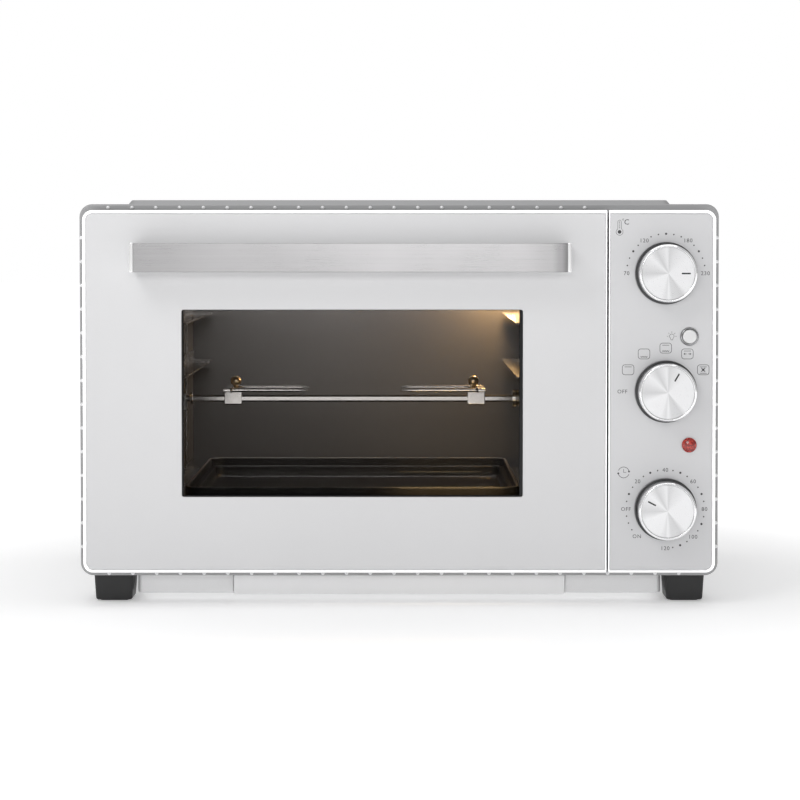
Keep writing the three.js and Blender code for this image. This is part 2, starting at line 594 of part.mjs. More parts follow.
add('control_panel', controlPanel(), panelSilver);
add('temperature_knob', knob(KNOB_HEIGHTS.temperature), brushedMetal);
add('function_knob', knob(KNOB_HEIGHTS.function), brushedMetal);
add('timer_knob', knob(KNOB_HEIGHTS.timer), brushedMetal);
add('temperature_spindle', spindle(KNOB_HEIGHTS.temperature), zincSheet);
add('function_spindle', spindle(KNOB_HEIGHTS.function), zincSheet);
add('timer_spindle', spindle(KNOB_HEIGHTS.timer), zincSheet);
add('thermostat', switchBody(18, 16, 24, KNOB_HEIGHTS.temperature), bakelite);
add('function_switch', switchBody(20, 20, 30, KNOB_HEIGHTS.function), bakelite);
add('timer', switchBody(28, 28, 38, KNOB_HEIGHTS.timer), zincSheet);
add('button_ring', buttonRing(), chrome);
add('lamp_button', lampButton(), panelSilver);
add('lamp_switch', block(BUTTON.x - 9, BUTTON.x + 9, 25, 48, BUTTON.z - 10, BUTTON.z + 10), bakelite);
add('pilot_lens', pilotLens(), redLens);

add('spit_rod', spitRod(), chrome);
add('drive_socket', driveSocket(), chrome);
add('spit_bearing', spitBearing(), zincSheet);
add('left_fork', fork(1), chrome);
add('right_fork', fork(-1), chrome);
add('left_thumbscrew', thumbscrew(1), chrome);
add('right_thumbscrew', thumbscrew(-1), chrome);
add('rotisserie_motor', rotisserieMotor(), zincSheet);

add('fan_wheel', fanWheel(), zincSheet);
add('fan_motor', fanMotor(), zincSheet);
add('lamp_glass', lampGlass(), clearGlass);
add('lamp_bulb', lampBulb(), clearGlass);
add('lamp_holder', bar('x', 13, 134.5, 160, [0, LAMP.y, LAMP.z], 20), bakelite);

add('baking_tray', bakingTray(), darkEnamel);
add('crumb_tray', crumbTray(), panelSilver);
add('front_left_foot', foot(-FOOT.x, FOOT.frontY), blackPlastic);
add('front_right_foot', foot(FOOT.x, FOOT.frontY), blackPlastic);
add('rear_left_foot', foot(-FOOT.x, FOOT.rearY), blackPlastic);
add('rear_right_foot', foot(FOOT.x, FOOT.rearY), blackPlastic);
add('cord_gland', cordGland(), blackPlastic);

// The door's face is drawn at y = 0; this moves the middle of the oven's depth there.
oven.position.y = (HANDLE_REACH - CASING_BACK - REAR_BULGE) / 2;

export default oven;
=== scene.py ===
"""Countertop rotisserie oven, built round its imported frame, in the order in which it is put together."""

import math

import bmesh
import bpy
from mathutils import Matrix, Vector
from mathutils.geometry import tessellate_polygon


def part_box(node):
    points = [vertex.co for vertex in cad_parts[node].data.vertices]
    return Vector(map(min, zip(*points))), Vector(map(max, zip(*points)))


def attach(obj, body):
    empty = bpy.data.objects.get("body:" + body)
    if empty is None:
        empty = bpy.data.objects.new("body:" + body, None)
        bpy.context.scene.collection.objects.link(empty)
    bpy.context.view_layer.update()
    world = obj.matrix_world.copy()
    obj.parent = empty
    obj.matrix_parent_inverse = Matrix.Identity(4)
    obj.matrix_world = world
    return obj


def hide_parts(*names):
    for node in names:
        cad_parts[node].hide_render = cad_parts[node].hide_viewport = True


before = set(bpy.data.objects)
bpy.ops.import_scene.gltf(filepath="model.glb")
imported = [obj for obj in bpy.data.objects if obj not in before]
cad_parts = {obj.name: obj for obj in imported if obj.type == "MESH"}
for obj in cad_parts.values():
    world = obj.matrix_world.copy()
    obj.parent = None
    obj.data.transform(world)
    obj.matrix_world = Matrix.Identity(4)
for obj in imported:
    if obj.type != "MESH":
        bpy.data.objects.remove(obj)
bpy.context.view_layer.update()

# ---- Outer casing ----
# One sheet of painted steel, folded round the cabinet and turned inwards at the front, with a field
# pressed up in the top and two rows of vents in each side. A row of small pips is pressed into the
# front fold, and the sheet is screwed to the rear panel.

mm = 0.001
casing_low, casing_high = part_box("outer_casing")
roof = casing_high.z - 4 * mm
wall_x = casing_high.x
flange_y = casing_low.y
sheet = 1.2 * mm


class Signal:
    """One output in a material's node tree. Arithmetic on it adds the Math nodes that it needs."""

    def __init__(self, finish, socket):
        self.finish, self.socket = finish, socket

    def math(self, operation, *others):
        return self.finish.node("ShaderNodeMath", {"operation": operation}, dict(enumerate((self, *others))))

    def __add__(self, other):
        return self.math("ADD", other)

    def __sub__(self, other):
        return self.math("SUBTRACT", other)

    def __rsub__(self, other):
        return self.finish.node("ShaderNodeMath", {"operation": "SUBTRACT"}, {0: other, 1: self})

    def __mul__(self, other):
        return self.math("MULTIPLY", other)

    def __truediv__(self, other):
        return self.math("DIVIDE", other)

    def __gt__(self, other):
        return self.math("GREATER_THAN", other)

    def __lt__(self, other):
        return self.math("LESS_THAN", other)

    __radd__, __rmul__ = __add__, __mul__

    def step(self, low, high, at_low=0.0, at_high=1.0):
        """Runs smoothly from at_low to at_high while the signal runs from low to high."""
        settings = {"interpolation_type": "SMOOTHSTEP"}
        sockets = {"Value": self, "From Min": low, "From Max": high, "To Min": at_low, "To Max": at_high}
        return self.finish.node("ShaderNodeMapRange", settings, sockets)


class Finish:
    """A material. node() adds one node; the last call is surface(), which sets the shader."""

    def __init__(self, name):
        self.material = bpy.data.materials.new(name)
        self.material.use_nodes = True
        self.tree = self.material.node_tree
        self.shader = self.tree.nodes["Principled BSDF"]

    def feed(self, socket, value):
        if isinstance(value, Signal):
            self.tree.links.new(value.socket, socket)
        elif hasattr(socket.default_value, "__len__") and len(socket.default_value) == 4:
            socket.default_value = (*value, 1) if len(value) == 3 else value
        else:
            socket.default_value = value

    def node(self, kind, settings=None, sockets=None, out=0):
        made = self.tree.nodes.new(kind)
        for key, value in (settings or {}).items():
            if key == "stops":
                ramp = made.color_ramp.elements
                for at, shade in value[1:-1]:
                    ramp.new(at)
                for element, (at, shade) in zip(ramp, value):
                    element.position, element.color = at, (*shade, 1)
            else:
                setattr(made, key, value)
        for key, value in (sockets or {}).items():
            self.feed(made.inputs[key], value)
        return Signal(self, made.outputs[out])

    def place(self, scale=(1, 1, 1)):
        """The point on the piece, in metres, stretched by scale."""
        point = self.node("ShaderNodeTexCoord", out="Object")
        return self.node("ShaderNodeMapping", None, {"Vector": point, "Scale": scale})

    def axes(self):
        point = self.node("ShaderNodeTexCoord", out="Object")
        split = self.node("ShaderNodeSeparateXYZ", None, {0: point}).socket.node
        return [Signal(self, output) for output in split.outputs]

    def noise(self, scale, detail=2.0, roughness=0.5, where=None):
        sockets = {"Vector": where or self.place(), "Scale": scale, "Detail": detail, "Roughness": roughness}
        return self.node("ShaderNodeTexNoise", {"noise_dimensions": "3D"}, sockets)

    def mix(self, mask, first, second, kind="MIX"):
        """A colour: first where mask is 0, second where it is 1."""
        settings = {"data_type": "RGBA", "blend_type": kind}
        return self.node("ShaderNodeMix", settings, {0: mask, 6: first, 7: second}, out=2)

    def shade(self, color, amount):
        """The colour made lighter or darker by a factor that changes over the surface."""
        factor = self.node("ShaderNodeCombineXYZ", None, {0: amount, 1: amount, 2: amount})
        return self.node("ShaderNodeVectorMath", {"operation": "MULTIPLY"}, {0: factor, 1: color})

    def surface(self, height=None, **sockets):
        """Sets the shader's sockets, named with _ for a space. height is in metres."""
        for key, value in sockets.items():
            self.feed(self.shader.inputs[key.replace("_", " ")], value)
        if height is not None:
            lifted = self.node("ShaderNodeBump", None, {"Height": height, "Distance": 1.0, "Strength": 1.0})
            self.feed(self.shader.inputs["Normal"], lifted)
        return self.material


def silver_paint(name, color, flake=0.05, metallic=0.55, roughness=0.42, gloss=0.5, painted_shade_by_height=None):
    """Sprayed silver paint: fine metal flake, slight orange peel, a little uneven over a hand's width.
    painted_shade_by_height lists painted shade by height, as (z, factor): how light the paint is made at each
    height, relative to the others."""
    f = Finish(name)
    grain = f.noise(2600, 2)
    patches = f.noise(9, 3)
    peel = f.noise(420, 1)
    tone = 1 + (grain - 0.5) * flake * 2 + (patches - 0.5) * 0.06
    for (z0, from_tone), (z1, to_tone) in zip(painted_shade_by_height or (), (painted_shade_by_height or ())[1:]):
        tone = tone * f.axes()[2].step(z0, z1, 1.0, to_tone / from_tone)
    return f.surface(
        Base_Color=f.shade(color, tone),
        Metallic=metallic + (grain - 0.5) * 0.3,
        Roughness=roughness + (patches - 0.5) * 0.1 + (grain - 0.5) * 0.12,
        Specular_IOR_Level=gloss,
        height=peel * 6e-6 + grain * 1.2e-6,
    )


def rounded(x0, x1, z0, z1, radii, steps=7):
    """A rectangle's outline as a function of how far it is drawn in.
    radii are the corners at the lower left, lower right, upper right and upper left, or one for all."""
    radii = radii if hasattr(radii, "__len__") else (radii,) * 4
    ends = [(x0, z0, 1, 1), (x1, z0, -1, 1), (x1, z1, -1, -1), (x0, z1, 1, -1)]

    def outline(inset=0.0):
        points = []
        for quarter, ((x, z, sx, sz), radius) in enumerate(zip(ends, radii)):
            r = max(radius - inset, 0.0)
            away = max(radius, inset)
            for i in range(steps + 1 if radius > 0 else 1):
                angle = math.pi * (1 + quarter / 2 + (i / steps / 2 if radius > 0 else 0))
                spread = r if radius > 0 else 0
                across, up = spread * math.cos(angle), spread * math.sin(angle)
                points.append((x + sx * away + across, z + sz * away + up))
        return points

    return outline


def centre_of(node, axes="xz"):
    """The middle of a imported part's box, along the axes named."""
    low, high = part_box(node)
    return [(getattr(low, axis) + getattr(high, axis)) / 2 for axis in axes]


def circle(x, z, radius, sides=32):
    """A round outline as a function of how far it is drawn in, which widens it where it is a hole."""

    def outline(inset=0.0):
        turns = [2 * math.pi * i / sides for i in range(sides)]
        return [(x + (radius - inset) * math.cos(t), z + (radius - inset) * math.sin(t)) for t in turns]

    return outline


def facing(way, start):
    """Maps (across, up, depth) to the shared frame: depth runs away from the side that is named, from start."""
    return {
        "front": lambda a, b, d: (a, start + d, b),
        "back": lambda a, b, d: (a, start - d, b),
        "left": lambda a, b, d: (start + d, a, b),
        "right": lambda a, b, d: (start - d, a, b),
        "top": lambda a, b, d: (a, b, start - d),
        "below": lambda a, b, d: (a, b, start + d),
    }[way]


def round_over(radius, steps=4):
    """The path of a rounded edge, as (inset, depth): from the face to the side."""
    turns = [math.pi / 2 * i / steps for i in range(steps + 1)]
    return [(radius * (1 - math.sin(t)), radius * (1 - math.cos(t))) for t in turns]


def scaled(profile):
    """A profile given in millimetres, in metres."""
    return [(a * mm, b * mm) for a, b in profile]


def plate_path(thickness, front=0.0004, back=None):
    """A flat plate's edge, rounded at both faces."""
    back = front if back is None else back
    return round_over(front) + [(i, thickness - d) for i, d in reversed(round_over(back))]


def pressed(mesh, outline, path, where, holes=(), closed=False):
    """Adds a piece pressed from a plate: the outline and each hole follow a path of (inset, depth).
    Both ends of the path are capped with flat faces, unless the path closes on itself."""
    rims = []
    for shape, steps, sign in [(outline, path, 1)] + [(shape, steps, -1) for shape, steps in holes]:
        rings = []
        for inset, depth in steps:
            rings.append([mesh.verts.new(where(a, b, depth)) for a, b in shape(sign * inset)])
        count = len(rings[0])
        following = rings[1:] + (rings[:1] if closed else [])
        for near, far in zip(rings, following):
            for i in range(count):
                j = (i + 1) % count
                mesh.faces.new((near[i], near[j], far[j], far[i]))
        rims.append(rings)
    if not closed:
        for end in (0, -1):
            loops = [rings[end] for rings in rims]
            flat = [vertex for loop in loops for vertex in loop]
            triangles = tessellate_polygon([[vertex.co for vertex in loop] for loop in loops])
            cap = [mesh.faces.new([flat[i] for i in three]) for three in triangles]
            edges = list({edge for face in cap for edge in face.edges if len(edge.link_faces) == 2})
            bmesh.ops.dissolve_limit(mesh, angle_limit=0.01, verts=[], edges=edges)


def turned(mesh, profile, axis, centre, sides=64):
    """Adds a piece turned on a lathe: profile is a list of (radius, distance along the axis)."""
    along = Vector(axis).normalized()
    across = along.orthogonal().normalized()
    other = along.cross(across)
    rings = []
    for radius, distance in profile:
        middle = Vector(centre) + along * distance
        if radius < 1e-7:
            rings.append([mesh.verts.new(middle)])
            continue
        turns = [2 * math.pi * i / sides for i in range(sides)]
        spokes = [across * math.cos(t) + other * math.sin(t) for t in turns]
        rings.append([mesh.verts.new(middle + spoke * radius) for spoke in spokes])
    for near, far in zip(rings, rings[1:]):
        for i in range(sides):
            j = (i + 1) % sides
            four = [near[i % len(near)], near[j % len(near)], far[j % len(far)], far[i % len(far)]]
            corners = list(dict.fromkeys(four))
            if len(corners) > 2:
                mesh.faces.new(corners)
    for ring in (rings[0], rings[-1]):
        if len(ring) > 1 and len(profile) > 1 and profile[0] != profile[-1]:
            mesh.faces.new(ring)


def shade_evenly(part, sharp=38):
    """Smooth shading between edges sharper than sharp degrees, large faces kept flat."""
    part.data.shade_smooth()
    part.data.set_sharp_from_angle(angle=math.radians(sharp))
    part.modifiers.new("even shading", "WEIGHTED_NORMAL").keep_sharp = True


def piece(name, mesh, material, body, stands_for=None, sharp=38):
    """Makes the object from a bmesh, smooth between its sharp edges, and lets it ride on its body."""
    bmesh.ops.remove_doubles(mesh, verts=mesh.verts, dist=1e-7)
    bmesh.ops.recalc_face_normals(mesh, faces=mesh.faces)
    data = bpy.data.meshes.new(name)
    mesh.to_mesh(data)
    mesh.free()
    made = bpy.data.objects.new(name, data)
    bpy.context.scene.collection.objects.link(made)
    data.materials.append(material)
    shade_evenly(made, sharp)
    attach(made, body)
    if stands_for:
        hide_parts(stands_for)


def trimmed(target, cutter, operation="DIFFERENCE"):
    """Cuts or joins one bmesh with another and returns the result."""
    objects = []
    for source in (target, cutter):
        bmesh.ops.recalc_face_normals(source, faces=source.faces)
        data = bpy.data.meshes.new("rough")
        source.to_mesh(data)
        source.free()
        objects.append(bpy.data.objects.new("rough", data))
        bpy.context.scene.collection.objects.link(objects[-1])
    work = objects[0].modifiers.new("cut", "BOOLEAN")
    work.object, work.operation, work.solver = objects[1], operation, "EXACT"
    result = bmesh.new()
    result.from_mesh(objects[0].evaluated_get(bpy.context.evaluated_depsgraph_get()).to_mesh())
    for rough in objects:
        bpy.data.objects.remove(rough)
    return result


hem = 23.5 * mm
casing_outline = rounded(-wall_x, wall_x, hem, roof, 11 * mm, steps=10)
fold = 9 * mm
depth = casing_high.y - flange_y
fold_round = 1.6 * mm
wrap_path = (
    [(fold, 0)]
    + round_over(fold_round, 5)
    + [(0, depth), (sheet, depth), (sheet, sheet + 0.2 * mm), (fold, sheet)]
)
casing = bmesh.new()
pressed(casing, casing_outline, wrap_path, facing("front", flange_y), closed=True)

field = bmesh.new()
field_path = scaled([(4.6, 0), (3.7, 0.35), (0.9, 3.6), (0, 4), (0, 4.4)])
field_outline = rounded(-0.236, 0.236, flange_y + 30 * mm, flange_y + 300 * mm, 9 * mm)
pressed(field, field_outline, field_path, facing("top", casing_high.z))
casing = trimmed(casing, field, "UNION")

vent_holes = bmesh.new()
for side in (-1, 1):
    for row in range(2):
        for i in range(7):
            y = flange_y + (210 + 12 * i) * mm
            z = (226 + 44 * row) * mm
            slot_shape = rounded(y, y + 4 * mm, z, z + 32 * mm, 1.99 * mm, steps=5)
            reach = facing("left", side * wall_x - 3 * mm)
            pressed(vent_holes, slot_shape, [(0, 0), (0, 6 * mm)], reach)
casing = trimmed(casing, vent_holes)

pip_pitch = 20.3 * mm
first_pip = -0.248
pips = [(first_pip + i * pip_pitch, roof - 3.1 * mm) for i in range(21)]
pips += [(first_pip + i * pip_pitch, hem + 2 * mm) for i in range(25)]
pips += [(side * (wall_x - 1.9 * mm), hem + 25 * mm + i * pip_pitch) for side in (-1, 1) for i in range(14)]
pip_profile = scaled([(1.62, 0.05), (1.6, -0.25), (1.3, -0.6), (0.75, -0.85), (0, -0.95)])
casing_paint = silver_paint("casing paint", (0.4, 0.4, 0.405), metallic=0.2, roughness=0.5, gloss=0.15)
piece("casing", casing, casing_paint, "cabinet", "outer_casing")

rim_pips = bmesh.new()
for x, z in pips:
    turned(rim_pips, pip_profile, (0, 1, 0), (x, flange_y, z), sides=16)
# The pips are painted far lighter than the casing sheet they are pressed into: painted highlights on them.
pip_highlight_paint = silver_paint("rim pips", (0.86, 0.86, 0.87), metallic=0.3, roughness=0.3)
piece("rim_pips", rim_pips, pip_highlight_paint, "cabinet")

# ---- Base pan ----
# A shallow painted tray screwed under the casing. It hides the insulation and guides the crumb tray,
# so its front wall is open in the middle and shows only to the left and right of the tray's lip.

pan_low, pan_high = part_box("base_pan")
lip_low, lip_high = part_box("crumb_tray")
mouth = lip_high.x + 0.6 * mm
light_paint = silver_paint("base paint", (0.88, 0.88, 0.885), metallic=0.1, roughness=0.4)

base = bmesh.new()
pan_depth = pan_high.z - pan_low.z
pan_edge = 2.2 * mm
pan_walls = round_over(pan_edge) + [
    (0, pan_depth), (sheet, pan_depth), (sheet, pan_edge), (sheet + 1.2 * mm, sheet)
]
pan_outline = rounded(pan_low.x, pan_high.x, pan_low.y, pan_high.y, 4 * mm)
pressed(base, pan_outline, pan_walls, facing("below", pan_low.z))
gate = bmesh.new()
gate_outline = rounded(-mouth, mouth, pan_low.z + sheet + 0.2 * mm, pan_high.z + 5 * mm, 0.5 * mm)
pressed(gate, gate_outline, [(0, 0), (0, 12 * mm)], facing("front", pan_low.y - 5 * mm))
piece("base_plinth", trimmed(base, gate), light_paint, "cabinet", "base_pan")

# ---- Feet ----
# Four moulded feet of black plastic, tapered towards the worktop, with rounded edges, a soft pad
# under each and a screw up its middle.


def grained_plastic(name, color, roughness=0.5, grain=1500, lift=1.2e-5):
    """Moulded plastic with a fine spark-eroded grain and slightly shinier high spots."""
    f = Finish(name)
    fine = f.noise(grain, 3, 0.6)
    wide = f.noise(30, 2)
    return f.surface(
        Base_Color=f.shade(color, 0.85 + fine * 0.2 + wide * 0.1),
        Roughness=roughness + (fine - 0.5) * 0.2 + (wide - 0.5) * 0.1,
        height=fine * lift,
    )


foot_plastic = grained_plastic("foot plastic", (0.013, 0.013, 0.0135), 0.42)
pad_rubber = grained_plastic("pad rubber", (0.03, 0.03, 0.03), 0.8, 900, 3e-5)
feet = ["front_left_foot", "front_right_foot", "rear_left_foot", "rear_right_foot"]
for node in feet:
    low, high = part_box(node)
    tall = high.z - low.z
    taper = 1.4 * mm
    foot = bmesh.new()
    pad_face = 0.8 * mm
    path = [(taper + i, d + pad_face) for i, d in round_over(2.2 * mm)]
    path += [
        (0.9 * mm, tall * 0.45), (0.15 * mm, tall - 1.2 * mm), (0.3 * mm, tall - 0.35 * mm), (0.8 * mm, tall)
    ]
    pressed(foot, rounded(low.x, high.x, low.y, high.y, 4 * mm), path, facing("below", low.z))
    piece(node.replace("foot", "foot_block"), foot, foot_plastic, "cabinet", node)
    pad = bmesh.new()
    pad_outline = rounded(low.x + 5 * mm, high.x - 5 * mm, low.y + 5 * mm, high.y - 5 * mm, 3 * mm)
    pad_path = plate_path(1.0 * mm, 0.3 * mm, 0)
    pressed(
        pad, pad_outline, pad_path, facing("below", low.z),
        [(circle(*centre_of(node, "xy"), 4.5 * mm), [(0, 0), (0, 1.0 * mm)])],
    )
    piece(node.replace("foot", "foot_pad"), pad, pad_rubber, "cabinet")

# ---- Crumb tray ----
# A shallow pan of light painted steel that slides in under the heaters. Its front is a folded lip
# that closes the middle of the plinth.

crumbs = bmesh.new()
lip_face = facing("front", lip_low.y)
lip_outline = rounded(lip_low.x, lip_high.x, lip_low.z, lip_high.z, (1.6 * mm, 1.6 * mm, 1.2 * mm, 1.2 * mm))
pressed(crumbs, lip_outline, plate_path(2.4 * mm, 0.9 * mm), lip_face)
bin_floor = lip_low.z + 2.6 * mm
bin_path = scaled([(2.5, 0), (0.8, 0.7), (0, 2.5), (0, 10.4), (1, 10.4), (1, 2.6)])
bin_path += scaled([(1.7, 1.5), (3, 1)])
bin_outline = rounded(-0.138, 0.138, lip_low.y + 2 * mm, lip_high.y, 5 * mm)
pressed(crumbs, bin_outline, bin_path, facing("below", bin_floor))
tray_paint = silver_paint("crumb tray paint", (0.95, 0.95, 0.955), metallic=0.05, roughness=0.35)
piece("crumb_pan", crumbs, tray_paint, "crumb_drawer", "crumb_tray")

# ---- Door panel ----
# A pressed steel pan, painted light silver, with a rounded front edge all round and the window
# punched out of it. It wraps round the glass and the hinge pins.

door_low, door_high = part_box("door_panel")
glass_low, glass_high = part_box("door_outer_glass")
door_paint = silver_paint("door paint", (0.66, 0.66, 0.668), flake=0.03, metallic=0.22, roughness=0.38)
window = (glass_low.x + 9 * mm, glass_high.x - 9 * mm, glass_low.z + 9.4 * mm, glass_high.z - 9.3 * mm)
groove = 3.2 * mm
ledge = 1.4 * mm


def pan_path(depth):
    """A pan's section: its face, a step down to a ledge for the trim, the wall, and inside again."""
    face = [(groove + 0.3 * mm, 0), (groove + 0.08 * mm, 0.08 * mm), (groove, 0.3 * mm), (groove, ledge)]
    wall = [(0.15 * mm, ledge), (0, ledge + 0.15 * mm), (0, depth), (sheet, depth)]
    return face + wall + [(sheet, ledge + sheet), (groove + sheet, ledge + sheet), (groove + sheet, sheet)]


def plate_outline(low, high, corners, free_side):
    """The outline of door or panel. The side next to the gap between them is drawn in much less."""

    def outline(inset=0.0):
        give = 0.62 * inset
        x0 = low.x - (give if free_side == "left" else 0)
        x1 = high.x + (give if free_side == "right" else 0)
        return rounded(x0, x1, low.z, high.z, corners, steps=10)(inset)

    return outline


door = bmesh.new()
door_corners = (8.5 * mm, 0.6 * mm, 0.6 * mm, 8.5 * mm)
door_outline = plate_outline(door_low, door_high, door_corners, "right")
window_outline = rounded(*window, 1.8 * mm)
window_path = round_over(0.5 * mm, 3) + [(0, sheet)]
door_path = pan_path(door_high.y - door_low.y)
pressed(door, door_outline, door_path, facing("front", door_low.y), [(window_outline, window_path)])
hinge_cuts = bmesh.new()
pin_y, pin_z = door_low.y + 8 * mm, door_low.z + 6.4 * mm
for x0, x1 in ((-263.5 * mm, -256 * mm), (164 * mm, 171.5 * mm)):
    notch = rounded(x0, x1, door_low.z - 1 * mm, door_low.z + 3 * mm, 0.2 * mm)
    pressed(hinge_cuts, notch, [(0, 0), (0, 14 * mm)], facing("front", door_low.y + 3.5 * mm))
for x in (door_low.x - 1 * mm, door_high.x - 3 * mm):
    turned(hinge_cuts, scaled([(2.9, 0), (2.9, 4)]), (1, 0, 0), (x, pin_y, pin_z), sides=24)
piece("door_front", trimmed(door, hinge_cuts), door_paint, "door", "door_panel")

# ---- Bright trim ----
# A rounded strip lies on the ledge round the door, with a narrow dark groove inside it. It is painted far
# lighter than the door as a painted highlight on its rolled edge, and darker along its lowest edge as painted
# shade. The control panel has the same.

trim_path = [
    (0.05, 1.36), (0.0, 1.1), (0.06, 0.75), (0.3, 0.38), (0.75, 0.1), (1.2, 0.02), (1.75, 0.1), (2.15, 0.36)
]
trim_path = [(inset * mm, deep * mm) for inset, deep in trim_path + [(2.33, 0.75), (2.35, 1.36)]]
# Painted shade: the lowest few millimetres of the trim are half as light as the rest.
trim_painted_shade_low = [(door_low.z + 0.3 * mm, 0.5), (door_low.z + 3 * mm, 1.0)]
trim_highlight_paint = silver_paint(
    "trim painted highlight", (0.97, 0.97, 0.97), flake=0.01, metallic=0.25, roughness=0.22, painted_shade_by_height=trim_painted_shade_low
)
trim = bmesh.new()
pressed(trim, door_outline, trim_path, facing("front", door_low.y), closed=True)
piece("door_trim", trim, trim_highlight_paint, "door", sharp=60)

# ---- Window ----
# Two panes of hardened glass with a ground edge. The outer one carries a black printed border and
# sits in a black silicone gasket behind the door's face; the inner one keeps the heat in.


def window_glass(name, tint, border=None):
    """Clear glass, slightly grey. border is the field that a black printed border leaves clear."""
    f = Finish(name)
    clear = f.node("ShaderNodeBsdfTransparent", None, {"Color": (*tint, 1)})
    dust = f.noise(14, 3)
    f.surface(
        Base_Color=(0.005, 0.005, 0.006), Roughness=0.02 + dust * 0.04, IOR=1.45, Specular_IOR_Level=0.3
    )
    facing_on = f.node("ShaderNodeFresnel", None, {"IOR": 1.45})
    solid = facing_on * 0.9
    if border:
        x, y, z = f.axes()
        x0, x1, z0, z1 = border
        outside = 1 - (x > x0) * (x < x1) * (z > z0) * (z < z1)
        solid = solid + outside - solid * outside
    mixed = f.node("ShaderNodeMixShader", None, {0: solid, 1: clear, 2: Signal(f, f.shader.outputs[0])})
    f.feed(f.tree.nodes["Material Output"].inputs["Surface"], mixed)
    return f.material


border = (window[0] + 1.3 * mm, window[1] - 2.7 * mm, window[2] + 1.0 * mm, window[3] - 0.5 * mm)
for name, node, material in (
    ("outer_pane", "door_outer_glass", window_glass("outer glass", (0.96, 0.955, 0.95), border)),
    ("inner_pane", "door_inner_glass", window_glass("inner glass", (0.95, 0.943, 0.936))),
):
    low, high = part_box(node)
    pane = bmesh.new()
    pane_outline = rounded(low.x, high.x, low.z, high.z, 4 * mm)
    pressed(pane, pane_outline, plate_path(high.y - low.y, 0.35 * mm), facing("front", low.y))
    piece(name, pane, material, "door", node)

gasket = bmesh.new()
gasket_low, gasket_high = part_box("door_inner_glass")
gasket_outline = rounded(gasket_low.x, gasket_high.x, glass_low.z - 3 * mm, glass_high.z + 3 * mm, 5 * mm)
gasket_hole = rounded(window[0] - 3 * mm, window[1] + 3 * mm, window[2] - 3 * mm, window[3] + 3 * mm, 4 * mm)
gasket_depth = 6.4 * mm
gasket_section = plate_path(gasket_depth, 1.2 * mm)
gasket_bore = round_over(1.2 * mm) + [(0, gasket_depth - 1.2 * mm)] + [
    (i, gasket_depth - d) for i, d in reversed(round_over(1.2 * mm))
]
pressed(
    gasket, gasket_outline, gasket_section, facing("front", glass_high.y + 0.3 * mm),
    [(gasket_hole, gasket_bore)],
)
seal_rubber = grained_plastic("silicone seal", (0.008, 0.008, 0.008), 0.55, 600, 1e-5)
piece("window_gasket", gasket, seal_rubber, "door")

# ---- Door handle ----
# A flat strip of brushed stainless steel between two polished end posts, which stand on the door and
# are screwed on from the inside. The brushing runs along the strip, and all edges are broken.


def brushed_steel(
    name, color, along="x", length=0.045, fine=5200, roughness=0.3, lift=1.5e-6, streak=0.12, painted_reflection=None
):
    """Stainless steel brushed one way: fine streaks in brightness, shine and height along that axis.
    painted_reflection lists a painted reflection along x, as (x, factor): how much lighter or darker the colour
    is made there."""
    f = Finish(name)
    squeeze = [1 / (length * fine) if axis == along else 1 for axis in "xyz"]
    hair = f.noise(fine, 2, 0.6, f.place(squeeze))
    band = f.noise(fine / 7, 3, 0.55, f.place(squeeze))
    cloud = f.noise(16, 3)
    tone = 1 + (hair - 0.5) * streak + (band - 0.5) * streak * 1.2 + (cloud - 0.5) * 0.14
    for (x0, from_tone), (x1, to_tone) in zip(painted_reflection or (), (painted_reflection or ())[1:]):
        tone = tone * f.axes()[0].step(x0, x1, 1.0, to_tone / from_tone)
    return f.surface(
        Base_Color=f.shade(color, tone),
        Metallic=0.92,
        Roughness=roughness + (hair - 0.5) * 0.16 + (cloud - 0.5) * 0.12,
        height=hair * lift + band * lift * 1.5,
    )


def polished(name, color, roughness=0.1, metallic=1.0):
    """Polished or plated metal with the faintest polishing marks and smudges."""
    f = Finish(name)
    smudge = f.noise(60, 4, 0.6)
    mark = f.noise(1800, 2)
    return f.surface(
        Base_Color=f.shade(color, 0.97 + smudge * 0.06),
        Metallic=metallic,
        Roughness=roughness + (smudge - 0.5) * 0.08,
        height=mark * 5e-7,
    )


handle_low, handle_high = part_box("door_handle")
strip = 3.2 * mm
post = 3.7 * mm
handle_tall = handle_high.z - handle_low.z
strip_left, strip_right = handle_low.x + post - 0.5 * mm, handle_high.x - post + 0.5 * mm
handle = bmesh.new()
strip_outline = rounded(
    strip_left, strip_right, handle_low.y + 0.35 * mm, handle_low.y + 0.35 * mm + strip, 0.5 * mm, steps=3
)
pressed(
    handle, strip_outline, plate_path(handle_tall - 0.4 * mm, 0.6 * mm),
    facing("below", handle_low.z + 0.2 * mm),
)
# Painted reflection: the strip's colour is lighter in the middle and darker at the ends, darkest just before
# the right post.
painted_reflection = [(strip_left, 0.78), (-0.12, 0.86), (0.0, 1.0), (0.1, 1.06), (strip_right - 14 * mm, 0.95)]
painted_reflection += [(strip_right - 6 * mm, 0.74), (strip_right, 0.45)]
handle_steel = brushed_steel("handle steel", (0.35, 0.345, 0.35), roughness=0.3, painted_reflection=painted_reflection)
piece("handle_strip", handle, handle_steel, "door", "door_handle")

posts = bmesh.new()
for x0 in (handle_low.x, handle_high.x - post):
    post_outline = rounded(
        x0, x0 + post, handle_low.y, handle_high.y, (1.7 * mm, 1.7 * mm, 0.3 * mm, 0.3 * mm), steps=6
    )
    pressed(posts, post_outline, plate_path(handle_tall, 1.1 * mm), facing("below", handle_low.z))
piece(
    "handle_posts", posts, polished("polished posts", (0.97, 0.97, 0.97), 0.16, 0.7), "door"
)

# ---- Control panel ----
# The same kind of pan as the door, fixed to the frame beside it, with holes for three spindles, the
# lamp button and the pilot light.

